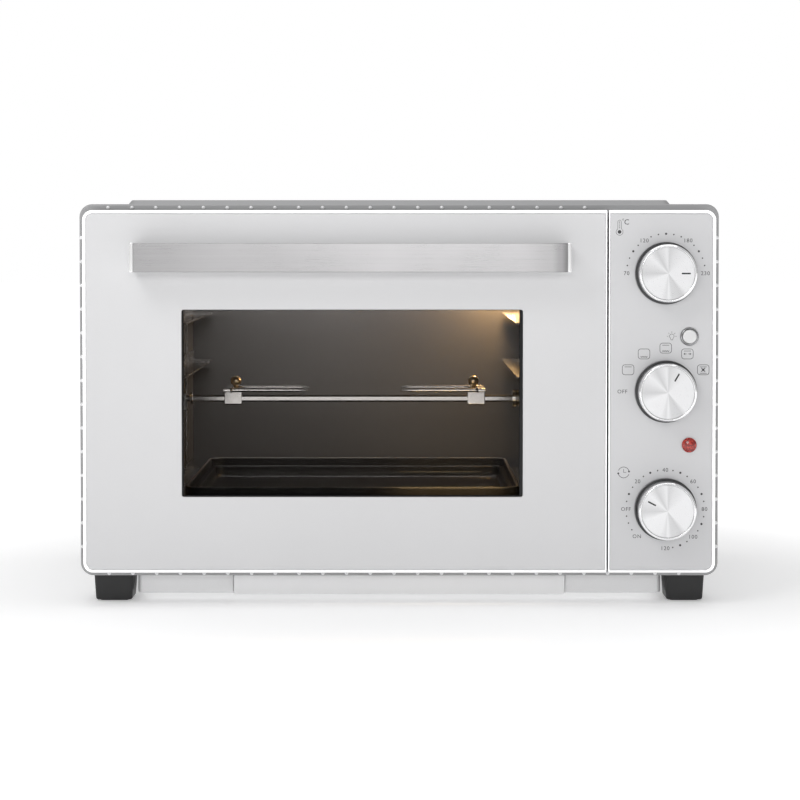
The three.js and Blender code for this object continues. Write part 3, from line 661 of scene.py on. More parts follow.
panel_low, panel_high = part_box("control_panel")
knob_nodes = ("temperature_knob", "function_knob", "timer_knob")
knob_boxes = [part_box(node) for node in knob_nodes]
knob_places = [centre_of(node) for node in knob_nodes]
ring_low, ring_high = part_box("button_ring")
button_at = centre_of("button_ring")
lens_low, lens_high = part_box("pilot_lens")
lens_at = centre_of("pilot_lens")
panel_paint = silver_paint("panel paint", (0.63, 0.63, 0.64), flake=0.03, metallic=0.25, roughness=0.38)

panel = bmesh.new()
panel_outline = plate_outline(panel_low, panel_high, (0.6 * mm, 8.5 * mm, 8.5 * mm, 0.6 * mm), "left")
hole_path = round_over(0.3 * mm, 2) + [(0, sheet)]
panel_holes = [(circle(*at, 5 * mm), hole_path) for at in knob_places]
panel_holes += [(circle(*button_at, 7.7 * mm, 48), hole_path), (circle(*lens_at, 5.5 * mm), hole_path)]
panel_path = pan_path(panel_high.y - panel_low.y)
pressed(panel, panel_outline, panel_path, facing("front", panel_low.y), panel_holes)
piece("control_front", panel, panel_paint, "cabinet", "control_panel")
panel_trim = bmesh.new()
pressed(panel_trim, panel_outline, trim_path, facing("front", panel_low.y), closed=True)
piece("panel_trim", panel_trim, trim_highlight_paint, "cabinet", sharp=60)

# ---- Printed scales ----
# Dark grey screen print on the panel: a scale of dots and numbers round each knob, plain symbols for
# the heating modes, and small signs for degrees, light and minutes.

print_face = panel_low.y - 0.03 * mm
print_depth = 0.06 * mm
line = 0.42 * mm
print_outline = facing("front", print_face)
scales = bmesh.new()


def printed_dot(x, z, radius):
    pressed(scales, circle(x, z, radius, 16), [(0, 0), (0, print_depth)], print_outline)


def printed_line(points, width=line):
    """A line of even width through the points, with mitred corners; it closes if it ends where it starts."""
    closed = points[0] == points[-1]
    spots = [Vector(p) for p in (points[:-1] if closed else points)]
    count = len(spots)
    sides = ([], [])
    for i, spot in enumerate(spots):
        before = spots[i - 1] if closed or i else spot
        after = spots[(i + 1) % count] if closed or i < count - 1 else spot
        ways = [(b - a).normalized() for a, b in ((before, spot), (spot, after)) if (b - a).length > 1e-9]
        normals = [Vector((-way.y, way.x)) for way in ways]
        middle = sum(normals, Vector((0, 0))).normalized()
        out = middle * (width / 2 / max(middle.dot(normals[0]), 0.3))
        for side, sign in zip(sides, (1, -1)):
            side.append([scales.verts.new(print_outline(*(spot + out * sign), d)) for d in (0, print_depth)])
    for i in range(count if closed else count - 1):
        j = (i + 1) % count
        (a, b), (c, d) = (sides[0][i], sides[0][j]), (sides[1][i], sides[1][j])
        for four in (
            (a[0], b[0], d[0], c[0]), (a[1], c[1], d[1], b[1]), (a[0], a[1], b[1], b[0]),
            (c[0], d[0], d[1], c[1]),
        ):
            scales.faces.new(four)
    if not closed:
        for i in (0, count - 1):
            a, c = sides[0][i], sides[1][i]
            scales.faces.new((a[0], c[0], c[1], a[1]))


def arc(x, z, radius, start, end, steps=12):
    turns = [math.radians(start + (end - start) * i / steps) for i in range(steps + 1)]
    return [(x + radius * math.cos(t), z + radius * math.sin(t)) for t in turns]


def printed_text(words, x, z, height):
    """Plain capitals and figures, centred on a point."""
    curve = bpy.data.curves.new("letters", "FONT")
    curve.body, curve.size, curve.resolution_u = words, height / 0.7, 3
    curve.align_x, curve.extrude, curve.space_character = "CENTER", print_depth / 2, 1.14
    lettering = bpy.data.objects.new("letters", curve)
    bpy.context.scene.collection.objects.link(lettering)
    outline = lettering.evaluated_get(bpy.context.evaluated_depsgraph_get()).to_mesh()
    outline.transform(
        Matrix.Translation((x, print_face + print_depth / 2, z - height / 2)) @ Matrix.Rotation(
            math.pi / 2, 4, "X"
        )
    )
    scales.from_mesh(outline)
    bpy.data.objects.remove(lettering)


def on_circle(centre, radius, degrees):
    turn = math.radians(degrees)
    return centre[0] + radius * math.cos(turn), centre[1] + radius * math.sin(turn)


heat, mode, clock = knob_places
small_dot, large_dot = 0.62 * mm, 0.95 * mm
figure = 3.3 * mm
scale_radius = 33.2 * mm
for step in range(17):
    words = {0: "70", 5: "120", 11: "180", 16: "230"}.get(step)
    spot = on_circle(heat, scale_radius, 180 - 11.25 * step)
    if words:
        printed_text(words, *spot, figure)
    else:
        printed_dot(*spot, large_dot if step in (3, 8, 13) else small_dot)
for step in range(25):
    minutes = 5 * step
    spot = on_circle(clock, scale_radius, 180 - 11.25 * step)
    if minutes % 20 == 0:
        printed_text(str(minutes) if minutes else "OFF", *spot, figure if minutes else figure * 0.95)
    else:
        printed_dot(*spot, large_dot if minutes % 20 == 10 else small_dot)
for degrees in (190.5, 201, 212):
    printed_dot(*on_circle(clock, scale_radius, degrees), small_dot)
printed_text("ON", *on_circle(clock, scale_radius, 224), figure * 0.95)
printed_text("OFF", *on_circle(mode, 36.5 * mm, 180), figure * 0.95)

mode_radius = 36.6 * mm
half = 4.9 * mm
for degrees, kind in ((150, "top"), (120, "bottom"), (90, "both"), (60, "spit"), (30, "fan")):
    x, z = on_circle(mode, mode_radius, degrees)
    box = rounded(x - half, x + half, z - half * 0.86, z + half * 0.86, 2.2 * mm, steps=4)()
    printed_line([*box, box[0]])
    if kind != "bottom":
        printed_line([(x - half * 0.6, z + half * 0.5), (x + half * 0.6, z + half * 0.5)])
    if kind in ("bottom", "both"):
        wave = [
            (x + half * (-0.6 + 0.15 * i), z - half * (0.5 + (0.1 if i % 2 else -0.08))) for i in range(9)
        ]
        printed_line(wave)
    if kind == "spit":
        printed_line([(x - half * 0.55, z), (x - half * 0.12, z)])
        printed_line([(x + half * 0.12, z), (x + half * 0.55, z)])
        for side in (-1, 1):
            tip = x + side * half * 0.6
            printed_line(
                [(tip - side * 1.0 * mm, z + 0.8 * mm), (tip, z), (tip - side * 1.0 * mm, z - 0.8 * mm)]
            )
    if kind == "fan":
        printed_dot(x, z, 1.0 * mm)
        for blade in range(4):
            printed_line(
                [on_circle((x, z), 0.8 * mm, 45 + 90 * blade), on_circle((x, z), 2.3 * mm, 45 + 90 * blade)],
                line * 1.5,
            )
        printed_line([(x - half * 0.6, z - half * 0.6), (x + half * 0.6, z - half * 0.6)])

# Thermometer with a degree sign, lamp sign and minute sign
meter = (heat[0] - 39.2 * mm, heat[1] + 39.8 * mm)
stem = arc(meter[0], meter[1] + 3.4 * mm, 1.5 * mm, 0, 180, 8)
bulb_arc = arc(meter[0], meter[1] - 5.0 * mm, 2.9 * mm, 122, 418, 20)
outline_points = stem + bulb_arc
printed_line([*outline_points, outline_points[0]], line * 0.7)
printed_dot(meter[0], meter[1] - 5.0 * mm, 1.55 * mm)
for i in range(4):
    printed_dot(meter[0], meter[1] - 1.6 * mm + i * 1.6 * mm, 0.4 * mm)
printed_text("C", meter[0] + 6.0 * mm, meter[1] + 3.4 * mm, 4.4 * mm)
ring_sign = arc(meter[0] + 2.9 * mm, meter[1] + 5.4 * mm, 0.6 * mm, 0, 360, 12)
printed_line([*ring_sign[:-1], ring_sign[0]], line * 0.6)

lamp_sign = (button_at[0] - 14.9 * mm, button_at[1] + 0.2 * mm)
globe = arc(*lamp_sign, 1.9 * mm, -55, 235, 14)
foot_points = [
    (lamp_sign[0] - 0.8 * mm, lamp_sign[1] - 3.0 * mm), (lamp_sign[0] + 0.8 * mm, lamp_sign[1] - 3.0 * mm)
]
printed_line([*globe, *foot_points, globe[0]], line * 0.75)
for degrees in (0, 45, 90, 135, 180):
    printed_line(
        [on_circle(lamp_sign, 2.9 * mm, degrees), on_circle(lamp_sign, 4.1 * mm, degrees)], line * 0.7
    )

minute_sign = (clock[0] - 35.2 * mm, clock[1] + 31.0 * mm)
for start in (10, 190):
    printed_line(arc(*minute_sign, 4.6 * mm, start, start + 150, 18))
    tip = on_circle(minute_sign, 4.6 * mm, start)
    printed_dot(*tip, 0.8 * mm)
printed_line(
    [(minute_sign[0], minute_sign[1] + 2.9 * mm), minute_sign, (minute_sign[0] + 2.2 * mm, minute_sign[1])],
    line * 0.8,
)

ink = Finish("screen print ink")
ink_grain = ink.noise(2200, 2)
ink_film = ink.surface(
    Base_Color=ink.shade((0.045, 0.044, 0.045), 0.7 + ink_grain * 0.6),
    Roughness=0.5 + (ink_grain - 0.5) * 0.2,
    height=ink_grain * 2e-6,
)
piece("printed_scales", scales, ink_film, "cabinet")

# ---- Knobs ----
# Turned aluminium-look knobs pushed onto their spindles: a dark ring at the base that stands in for the shadow
# there (painted shadow), a satin side, a polished bevel and a spun face with painted highlights and a short
# black mark.


def spun_metal(name, centre, color):
    """A face spun on a lathe, with very fine rings; over them, soft painted highlights fan out from its middle
    by angle.
    """
    f = Finish(name)
    x, y, z = f.axes()
    across, up = x - centre[0], z - centre[1]
    angle = f.node("ShaderNodeMath", {"operation": "ARCTAN2"}, {0: up, 1: across})
    radius = f.node("ShaderNodeMath", {"operation": "SQRT"}, {0: across * across + up * up})
    point = f.node("ShaderNodeCombineXYZ", None, {0: radius * 9000, 1: angle * 2.4, 2: 0.0})
    rings = f.noise(1.0, 2, 0.6, point)
    # How light the painted highlight is at each turn round the face.
    fan = [
        (0.0, 0.66), (0.06, 1.0), (0.2, 0.98), (0.235, 0.8), (0.252, 1.0), (0.275, 0.74), (0.34, 0.66),
        (0.375, 0.97), (0.6, 0.94), (0.7, 0.8), (0.742, 0.66), (0.76, 0.92), (0.83, 0.62), (0.88, 0.97),
        (1.0, 0.66),
    ]
    stops = [(turn, (light,) * 3) for turn, light in fan]
    painted_wedges = f.node("ShaderNodeValToRGB", {"stops": stops}, {"Fac": angle / (2 * math.pi) + 0.5})
    tone = f.mix(0.75, (1, 1, 1, 1), painted_wedges, "MULTIPLY")
    fine = f.shade(color, 0.94 + rings * 0.12)
    lit = f.mix(1.0, fine, tone, "MULTIPLY")
    return f.surface(
        Base_Color=lit, Metallic=0.75, Roughness=0.3 + (rings - 0.5) * 0.16, height=rings * 1.4e-6
    )


bevel_shine = polished("polished bevel", (0.93, 0.93, 0.94), 0.16, 0.8)
skirt_steel = brushed_steel("knob side", (0.4, 0.4, 0.41), along="y", length=0.02, roughness=0.34)
painted_base_shadow = grained_plastic("knob painted shadow ring", (0.05, 0.05, 0.052), 0.45)
mark_black = grained_plastic("pointer mark", (0.008, 0.008, 0.008), 0.4)
face_radius = 24.3 * mm
turns_at_rest = {"temperature_knob": 0, "function_knob": 60, "timer_knob": 153}
for node, (low, high), (x, z) in zip(knob_nodes, knob_boxes, knob_places):
    body = node.replace("knob", "control")
    tall = high.y - low.y
    centre = (x, high.y, z)
    bell = bmesh.new()
    base = 26.3 * mm
    side = [
        (3.3 * mm, 0), (base, 0), (base, 1.2 * mm), (base - 0.5 * mm, 2.0 * mm),
        (face_radius + 0.4 * mm, 3.0 * mm),
    ]
    shoulder = tall - 2.3 * mm
    side += [(face_radius, 3.4 * mm), (face_radius, shoulder), (3.3 * mm, shoulder), (3.3 * mm, 0)]
    turned(bell, side, (0, -1, 0), centre, sides=96)
    piece(node + "_skirt", bell, skirt_steel, body, node)

    crown = bmesh.new()
    rim = [
        (face_radius - 1.5 * mm, tall - 2.1 * mm), (face_radius, tall - 2.1 * mm),
        (face_radius, tall - 1.7 * mm),
    ]
    rim += [(face_radius - 0.15 * mm, tall - 1.2 * mm), (face_radius - 1.2 * mm, tall - 0.15 * mm)]
    rim += [
        (face_radius - 1.6 * mm, tall), (22.5 * mm, tall), (22.25 * mm, tall - 0.15 * mm),
        (22.1 * mm, tall - 0.6 * mm),
    ]
    rim += [(22.1 * mm, tall - 2.1 * mm), rim[0]]
    turned(crown, rim, (0, -1, 0), centre, sides=96)
    piece(node + "_bevel", crown, bevel_shine, body)

    disc = bmesh.new()
    dish = [
        (0, tall - 2.0 * mm), (22 * mm, tall - 2.0 * mm), (22 * mm, tall - 0.62 * mm),
        (21.85 * mm, tall - 0.5 * mm),
    ]
    dish += [(16 * mm, tall - 0.55 * mm), (8 * mm, tall - 0.62 * mm), (0, tall - 0.66 * mm)]
    turned(disc, dish, (0, -1, 0), centre, sides=96)
    piece(
        node + "_face", disc, spun_metal(node.replace("_", " ") + " face", (x, z), (0.8, 0.8, 0.81)), body,
    )

    # A nearly black ring round the knob's base: painted shadow where the knob meets the panel.
    collar = bmesh.new()
    turned(collar, scaled([(25.2, 3.05), (26.1, 2.6), (26.15, 3.4), (25.2, 3.8), (25.2, 3.05)]),
           (0, -1, 0), centre, sides=96)
    piece(node + "_collar", collar, painted_base_shadow, body)

    pointer = bmesh.new()
    mark = rounded(11 * mm, 18.6 * mm, -0.62 * mm, 0.62 * mm, 0.6 * mm, steps=4)
    turn = math.radians(turns_at_rest[node])
    aim = lambda a, b, d: (
        x + a * math.cos(turn) - b * math.sin(turn),
        low.y + 0.34 * mm + d,
        z + a * math.sin(turn) + b * math.cos(turn),
    )
    pressed(pointer, mark, plate_path(0.5 * mm, 0.08 * mm), aim)
    piece(node + "_mark", pointer, mark_black, body)

# ---- Lamp button and pilot light ----
# The button is a white-silver cap in a polished ring. The pilot light is a red lens, cut in facets
# so that it sparkles, snapped into the panel.

ring = bmesh.new()
button_back = ring_high.y
outer, inner = (ring_high.x - ring_low.x) / 2, 6.35 * mm
ring_profile = [
    (inner, 0), (outer, 0), (outer, 4.3 * mm), (outer - 0.15 * mm, 4.8 * mm), (outer - 0.5 * mm, 5.15 * mm)
]
ring_profile += [(outer - 0.8 * mm, 5.2 * mm), (inner + 0.1 * mm, 4.9 * mm), (inner, 4.6 * mm), (inner, 0)]
turned(ring, ring_profile, (0, -1, 0), (button_at[0], button_back, button_at[1]), sides=64)
piece(
    "button_bezel", ring, polished("button bezel", (0.55, 0.55, 0.56), 0.15), "cabinet",
    "button_ring",
)

cap_low, cap_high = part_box("lamp_button")
cap = bmesh.new()
cap_radius = (cap_high.x - cap_low.x) / 2
long = cap_high.y - cap_low.y
cap_profile = [
    (0, 0), (2.6 * mm, 0), (3 * mm, 0.4 * mm), (3 * mm, 16 * mm), (cap_radius, 16 * mm),
    (cap_radius, long - 1 * mm),
]
cap_profile += [(cap_radius - 0.12 * mm, long - 0.55 * mm), (cap_radius - 0.5 * mm, long - 0.15 * mm)]
cap_profile += [(cap_radius - 1.2 * mm, long - 0.02 * mm), (0, long)]
turned(cap, cap_profile, (0, -1, 0), (button_at[0], cap_high.y, button_at[1]), sides=64)
piece(
    "button_cap", cap, silver_paint("button cap", (0.74, 0.74, 0.74), 0.02, 0.1, 0.35), "lamp_push",
    "lamp_button",
)

ruby = Finish("ruby lens")
# The lens glows as a lit pilot lamp; the spots of lighter red colour and stronger glow over it are painted
# sparkle.
sparkle = ruby.node("ShaderNodeTexVoronoi", {"feature": "F1"}, {"Vector": ruby.place(), "Scale": 620.0})
glow = sparkle.step(0.1, 0.7, 1.0, 0.1)
ruby_lens = ruby.surface(
    Base_Color=ruby.mix(glow, (0.1, 0.003, 0.003, 1), (0.42, 0.02, 0.015, 1)),
    Roughness=0.08 + (1 - glow) * 0.1, Coat_Weight=0.6, IOR=1.5,
    Emission_Color=ruby.mix(glow, (0.25, 0.003, 0.003, 1), (1, 0.12, 0.06, 1)), Emission_Strength=0.2,
)
lens = bmesh.new()
lens_radius = (lens_high.x - lens_low.x) / 2
tail = lens_high.y
nose = tail - lens_low.y
shank_profile = [
    (0, 0), (5 * mm, 0), (5 * mm, nose - 2.7 * mm), (lens_radius, nose - 2.6 * mm),
    (lens_radius, nose - 2.05 * mm),
]
turned(lens, shank_profile, (0, -1, 0), (lens_at[0], tail, lens_at[1]), sides=48)
crown_profile = [
    (lens_radius, nose - 2 * mm), (5.4 * mm, nose - 1.3 * mm), (3.9 * mm, nose - 0.5 * mm),
    (1.9 * mm, nose - 0.08 * mm), (0, nose),
]
turned(lens, crown_profile, (0, -1, 0), (lens_at[0], tail, lens_at[1]), sides=12)
piece("pilot_jewel", lens, ruby_lens, "cabinet", "pilot_lens", sharp=8)

# ---- Front frame ----
# A flat sheet of zinc-plated steel between the casing and the cavity. The hinges, the control panel
# and the switches are screwed to it, and the mouth of the cavity is cut out of it.


def zinc_plate(name, color=(0.5, 0.51, 0.52), roughness=0.42):
    """Zinc-plated sheet: large faint crystals, fine rolling lines and dull patches."""
    f = Finish(name)
    crystals = f.node("ShaderNodeTexVoronoi", {"feature": "F1"}, {"Vector": f.place(), "Scale": 140.0}, out=1)
    split = f.node("ShaderNodeSeparateColor", None, {0: crystals})
    rolled = f.noise(900, 2, 0.5, f.place((1, 0.06, 1)))
    dull = f.noise(12, 4)
    tone = 0.86 + split * 0.16 + (rolled - 0.5) * 0.08 + (dull - 0.5) * 0.14
    return f.surface(
        Base_Color=f.shade(color, tone), Metallic=0.85,
        Roughness=roughness + (split - 0.5) * 0.1 + (dull - 0.5) * 0.2, height=rolled * 3e-6,
    )


def refinish(node, material, rounding=0.25 * mm, steps=2):
    """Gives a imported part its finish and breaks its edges."""
    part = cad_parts[node]
    if not part.material_slots:
        part.data.materials.append(material)
    for holder in part.material_slots:
        holder.material = material
    weld = part.modifiers.new("one skin", "WELD")
    weld.merge_threshold = 0.01 * mm
    if rounding:
        broken = part.modifiers.new("broken edges", "BEVEL")
        broken.width, broken.segments, broken.limit_method = rounding, steps, "ANGLE"
        broken.angle_limit = math.radians(50)
    shade_evenly(part)


zinc = zinc_plate("zinc plate")
refinish("front_frame", zinc)

# ---- Cavity ----
# Five sheets of steel with a dark grey non-stick coating, hooked together at their edges. The right
# wall has a ring of holes in front of the fan. Domed screws hold walls and ceiling.


def baked_coat(name, color, roughness=0.46):
    """Sprayed and baked coating: satin, with fine pinholes, specks and a cloudy sheen."""
    f = Finish(name)
    fine = f.noise(1500, 3, 0.65)
    cloud = f.noise(7, 4)
    specks = f.noise(520, 1).step(0.66, 0.72)
    tone = 0.9 + (fine - 0.5) * 0.25 + (cloud - 0.5) * 0.3 + specks * 0.25
    return f.surface(
        Base_Color=f.shade(color, tone), Metallic=0.25,
        Roughness=roughness + (fine - 0.5) * 0.16 + (cloud - 0.5) * 0.12,
        height=fine * 1.4e-5 + specks * 6e-6,
    )


cavity_coat = baked_coat("cavity coating", (0.078, 0.076, 0.076))
walls = ["cavity_left_wall", "cavity_right_wall", "cavity_back_wall"]
for node in (*walls, "cavity_ceiling", "cavity_floor"):
    refinish(node, cavity_coat, 0.2 * mm)
left_low, left_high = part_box("cavity_left_wall")
right_low, right_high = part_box("cavity_right_wall")

dome_profile = scaled([(0, 0), (3.2, 0), (3.2, 0.5), (2.7, 1.3), (1.6, 1.8), (0, 2)])


def domed_screws(name, places, axis, body, finish):
    """Domed screw heads with a cross recess, at the places given, looking along axis."""
    heads = bmesh.new()
    along = Vector(axis)
    across = along.orthogonal().normalized()
    for place in places:
        turned(heads, dome_profile, axis, place, sides=20)
    for way in (across, along.cross(across)):
        side = along.cross(way)
        recesses = bmesh.new()
        for place in places:
            cross_bar = [(1.7, 0.32), (-1.7, 0.32), (-1.7, -0.32), (1.7, -0.32)]
            ends = [Vector(place) + along * height * mm for height in (2.4, 1.0)]
            rings = [
                [recesses.verts.new(end + way * a * mm + side * b * mm) for a, b in cross_bar] for end in ends
            ]
            for i in range(4):
                j = (i + 1) % 4
                recesses.faces.new((rings[0][i], rings[0][j], rings[1][j], rings[1][i]))
            recesses.faces.new(rings[0])
            recesses.faces.new(rings[1])
        heads = trimmed(heads, recesses)
    piece(name, heads, finish, body)


screw_zinc = polished("plated screws", (0.55, 0.55, 0.56), 0.3)
back_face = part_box("cavity_back_wall")[0].y
spots = [(x, back_face, z) for x in (left_high.x + 14 * mm, right_low.x - 14 * mm) for z in (0.045, 0.306)]
domed_screws("cavity_back_screws", spots, (0, -1, 0), "cabinet", screw_zinc)

# ---- Rack rails ----
# A pressed and plated frame on each side wall, with three ledges for the tray, hung on two strips.

rail_plate = brushed_steel("rail plating", (0.5, 0.5, 0.5), along="y", length=0.03, fine=3200, roughness=0.24)
for node in ("left_rack_rails", "right_rack_rails"):
    refinish(node, rail_plate, 0.35 * mm)

# ---- Heating elements ----
# Four steel tubes filled with magnesia, stained by heat, each held by a crimped ferrule in both side
# walls. Behind the walls each ends in a white ceramic collar and a threaded terminal.


def heat_stained(name):
    """Steel tube after many heatings: brown and blue-grey bands that drift along it, fine scale."""
    f = Finish(name)
    bands = f.noise(34, 3, 0.6, f.place((0.5, 1, 1)))
    scale = f.noise(1600, 3)
    stops = [(0.0, (0.055, 0.05, 0.047)), (0.45, (0.13, 0.115, 0.1)), (0.6, (0.17, 0.13, 0.1))]
    stops += [(1.0, (0.1, 0.105, 0.115))]
    tint = f.node("ShaderNodeValToRGB", {"stops": stops}, {"Fac": bands})
    return f.surface(
        Base_Color=f.shade(tint, 0.8 + scale * 0.4), Metallic=0.7,
        Roughness=0.4 + (scale - 0.5) * 0.25, height=scale * 8e-6,
    )


tube_steel = heat_stained("heat-stained tube")
ceramic = grained_plastic("white ceramic", (0.62, 0.6, 0.55), 0.55, 800, 1e-5)
heater_nodes = [f"{level}_heater_{end}" for level in ("upper", "lower") for end in ("front", "rear")]
collars, terminals = bmesh.new(), bmesh.new()
for node in heater_nodes:
    low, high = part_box(node)
    y, z = centre_of(node, "yz")
    long, tube, ferrule = high.x - low.x, 3.6 * mm, high.z - z
    crimp = [
        (0, 0), (ferrule, 0), (ferrule, 1.2 * mm), (ferrule - 0.9 * mm, 1.6 * mm),
        (ferrule - 0.9 * mm, 3.6 * mm),
    ]
    crimp += [
        (ferrule, 4.1 * mm), (ferrule, 6.4 * mm), (ferrule - 0.6 * mm, 7 * mm), (tube + 0.3 * mm, 7 * mm),
        (tube, 7.4 * mm),
    ]
    rod = bmesh.new()
    turned(rod, crimp + [(r, long - d) for r, d in reversed(crimp)], (1, 0, 0), (low.x, y, z), sides=32)
    piece(node.replace("heater", "element"), rod, tube_steel, "cabinet", node)
    for start, way in ((left_low.x - 0.1 * mm, -1), (right_high.x + 0.1 * mm, 1)):
        collar = scaled([(0, 0), (5, 0), (5, 3), (3.4, 3.8), (3.4, 7), (2.9, 7.6), (0, 7.6)])
        turned(collars, collar, (way, 0, 0), (start, y, z), sides=24)
        pin = [(0, 0), (1.7 * mm, 0)]
        for thread in range(5):
            pin += [(1.7 * mm, (0.4 + thread * 0.9) * mm), (1.45 * mm, (0.85 + thread * 0.9) * mm)]
        turned(
            terminals, pin + scaled([(1.5, 5.4), (0, 5.6)]), (way, 0, 0), (start + way * 7.7 * mm, y, z),
            sides=16,
        )
piece("element_collars", collars, ceramic, "cabinet")
piece("element_terminals", terminals, screw_zinc, "cabinet")

# ---- Door's inside ----
# The inner frame is a black enamelled sheet that closes the pan and holds the inner pane. Two hinge
# brackets carry the door on pins, and a slotted stay on each side limits how far it drops.


def vitreous_enamel(name, color, roughness=0.13, gloss=0.5, painted_highlight_above=None):
    """Fired black enamel: deep gloss, slightly wavy, with rare pinholes.
    Above the height painted_highlight_above it is painted fourteen times lighter: a painted highlight along a
    rim's crest."""
    f = Finish(name)
    wave = f.noise(55, 2)
    pits = f.noise(900, 1).step(0.7, 0.76)
    cloud = f.noise(18, 3)
    tone = 0.85 + cloud * 0.3 + pits * 0.5
    if painted_highlight_above:
        tone = tone * f.axes()[2].step(painted_highlight_above, painted_highlight_above + 0.0003, 1.0, 14.0)
    return f.surface(
        Base_Color=f.shade(color, tone), Roughness=roughness + (cloud - 0.5) * 0.08,
        Specular_IOR_Level=gloss, Coat_Weight=gloss, height=wave * 2.5e-5 + pits * -8e-6,
    )


black_enamel = vitreous_enamel("black enamel", (0.012, 0.0115, 0.011))
refinish("door_inner_frame", black_enamel, 0.25 * mm)
frame_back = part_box("door_inner_frame")[1].y
screw_spots = [(x, frame_back - 0.05 * mm, z) for x in (-0.215, -0.04, 0.135) for z in (0.0625, 0.2815)]
domed_screws("door_frame_screws", screw_spots, (0, 1, 0), "door", screw_zinc)
for node in ("left_hinge", "right_hinge", "left_door_stay", "right_door_stay"):
    refinish(node, zinc, 0.3 * mm)
pivot_heads = bmesh.new()
for node in ("left_door_stay", "right_door_stay"):
    low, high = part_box(node)
    head = scaled([(0, 0), (2.6, 0), (2.6, 0.5), (1.9, 1.1), (0, 1.4)])
    at = (low.y + 4.5 * mm, (low.z + high.z) / 2)
    for start, way in ((low.x, -1), (high.x, 1)):
        turned(pivot_heads, head, (way, 0, 0), (start, *at), sides=24)
piece("stay_rivets", pivot_heads, screw_zinc, "door")

# ---- Spindles and switches ----
# Behind the panel each knob sits on a spindle with a flat, which turns a thermostat, a rotary switch
# or a clockwork timer. The lamp button works a small snap switch.

for node in ("temperature_spindle", "function_spindle", "timer_spindle"):
    refinish(node, polished(node.replace("_", " "), (0.6, 0.6, 0.6), 0.28), 0.3 * mm)
brown_moulding = grained_plastic("brown moulding", (0.2, 0.13, 0.065), 0.5, 700, 1.5e-5)
for node in ("thermostat", "function_switch", "lamp_switch"):
    refinish(node, brown_moulding, 0.8 * mm, 3)
refinish("timer", zinc, 0.8 * mm, 3)
blades = bmesh.new()
for node, count in (("thermostat", 2), ("function_switch", 4), ("timer", 2), ("lamp_switch", 2)):
    low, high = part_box(node)
    for i in range(count):
        x = low.x + (high.x - low.x) * (i + 0.5) / count
        shape = rounded(x - 3.1 * mm, x + 3.1 * mm, high.z - 9 * mm, high.z - 8.2 * mm, 0.3 * mm, steps=2)
        pressed(blades, shape, scaled([(0.6, 0), (0, 1.5), (0, 9)]), facing("front", high.y - 1 * mm))
piece("switch_terminals", blades, screw_zinc, "cabinet")

# ---- Spit ----
# A square steel rod with chamfered corners, chrome plated. Its round end lies in a cradle on the
# left wall, its square end sits in the socket that the motor turns.

rod_low, rod_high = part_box("spit_rod")
spit_y, spit_z = centre_of("spit_rod", "yz")
square = 6.2 * mm
half = square / 2
loose = half + 0.3 * mm
journal_end = left_high.x + 12 * mm


def along_x(y, z, start, way=1):
    """Maps a section drawn in y and z to the shared frame, with its depth running along x from start."""
    return lambda a, b, d: (start + way * d, y + a, z + b)


plate_chrome = polished("spit plating", (0.83, 0.83, 0.84), 0.2)
rod = bmesh.new()
chamfer = 1.5 * mm
section = rounded(-half, half, -half, half, chamfer, steps=1)
rod_long = rod_high.x - journal_end
rod_path = [(0.5 * mm, 0), (0, 0.6 * mm), (0, rod_long - 1.6 * mm), (1.2 * mm, rod_long)]
pressed(rod, section, rod_path, along_x(spit_y, spit_z, journal_end))
journal_long = journal_end - rod_low.x
neck = [
    (0, 0), (2.3 * mm, 0), (2.9 * mm, 0.7 * mm), (2.9 * mm, journal_long - 0.7 * mm),
    (4.9 * mm, journal_long - 0.5 * mm),
]
neck += [
    (5.5 * mm, journal_long), (5.5 * mm, journal_long + 1.4 * mm), (5 * mm, journal_long + 1.9 * mm),
    (0, journal_long + 1.9 * mm),
]
turned(rod, neck, (1, 0, 0), (rod_low.x, spit_y, spit_z), sides=40)
piece("spit", rod, plate_chrome, "spit", "spit_rod", sharp=20)

hub_low, hub_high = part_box("drive_socket")
hub = bmesh.new()
hub_radius = (hub_high.z - hub_low.z) / 2
shaft_start = hub_high.x - 12.5 * mm
bore = rounded(-loose, loose, -loose, loose, 0.6 * mm, steps=3)
hub_long = shaft_start - hub_low.x
hub_section = circle(0, 0, hub_radius, 48)
bore_depth = 14.5 * mm
front_part = scaled([(1, 0), (0.3, 0.3), (0, 1), (0, 4), (0.8, 4.6), (0.8, 6), (0, 6.6)])
pressed(
    hub, hub_section, front_part + [(0, bore_depth)], along_x(spit_y, spit_z, hub_low.x),
    [(bore, [(-0.5 * mm, 0), (0, 0.5 * mm), (0, bore_depth)])],
)
tail = [
    (0, 0), (hub_radius, 0), (hub_radius, hub_long - bore_depth - 1 * mm),
    (hub_radius - 1 * mm, hub_long - bore_depth), (3.5 * mm, hub_long - bore_depth),
]
tail += [
    (3.5 * mm, hub_high.x - hub_low.x - bore_depth - 0.4 * mm),
    (3.1 * mm, hub_high.x - hub_low.x - bore_depth), (0, hub_high.x - hub_low.x - bore_depth),
]
turned(hub, tail, (1, 0, 0), (hub_low.x + bore_depth + 0.02 * mm, spit_y, spit_z), sides=48)
piece("drive_hub", hub, plate_chrome, "spit", "drive_socket")
refinish("spit_bearing", zinc, 0.4 * mm, 3)
bearing_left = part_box("spit_bearing")[0].x
rivets = [(bearing_left + 1.55 * mm, spit_y + way * 11 * mm, spit_z - 20 * mm) for way in (-1, 1)]
domed_screws("bearing_screws", rivets, (1, 0, 0), "cabinet", screw_zinc)

# ---- Forks ----
# Each fork is a sliding clamp with a cross bar and two sharpened prongs, welded together and plated.
# A thumbscrew with a round knurled head holds it on the rod.


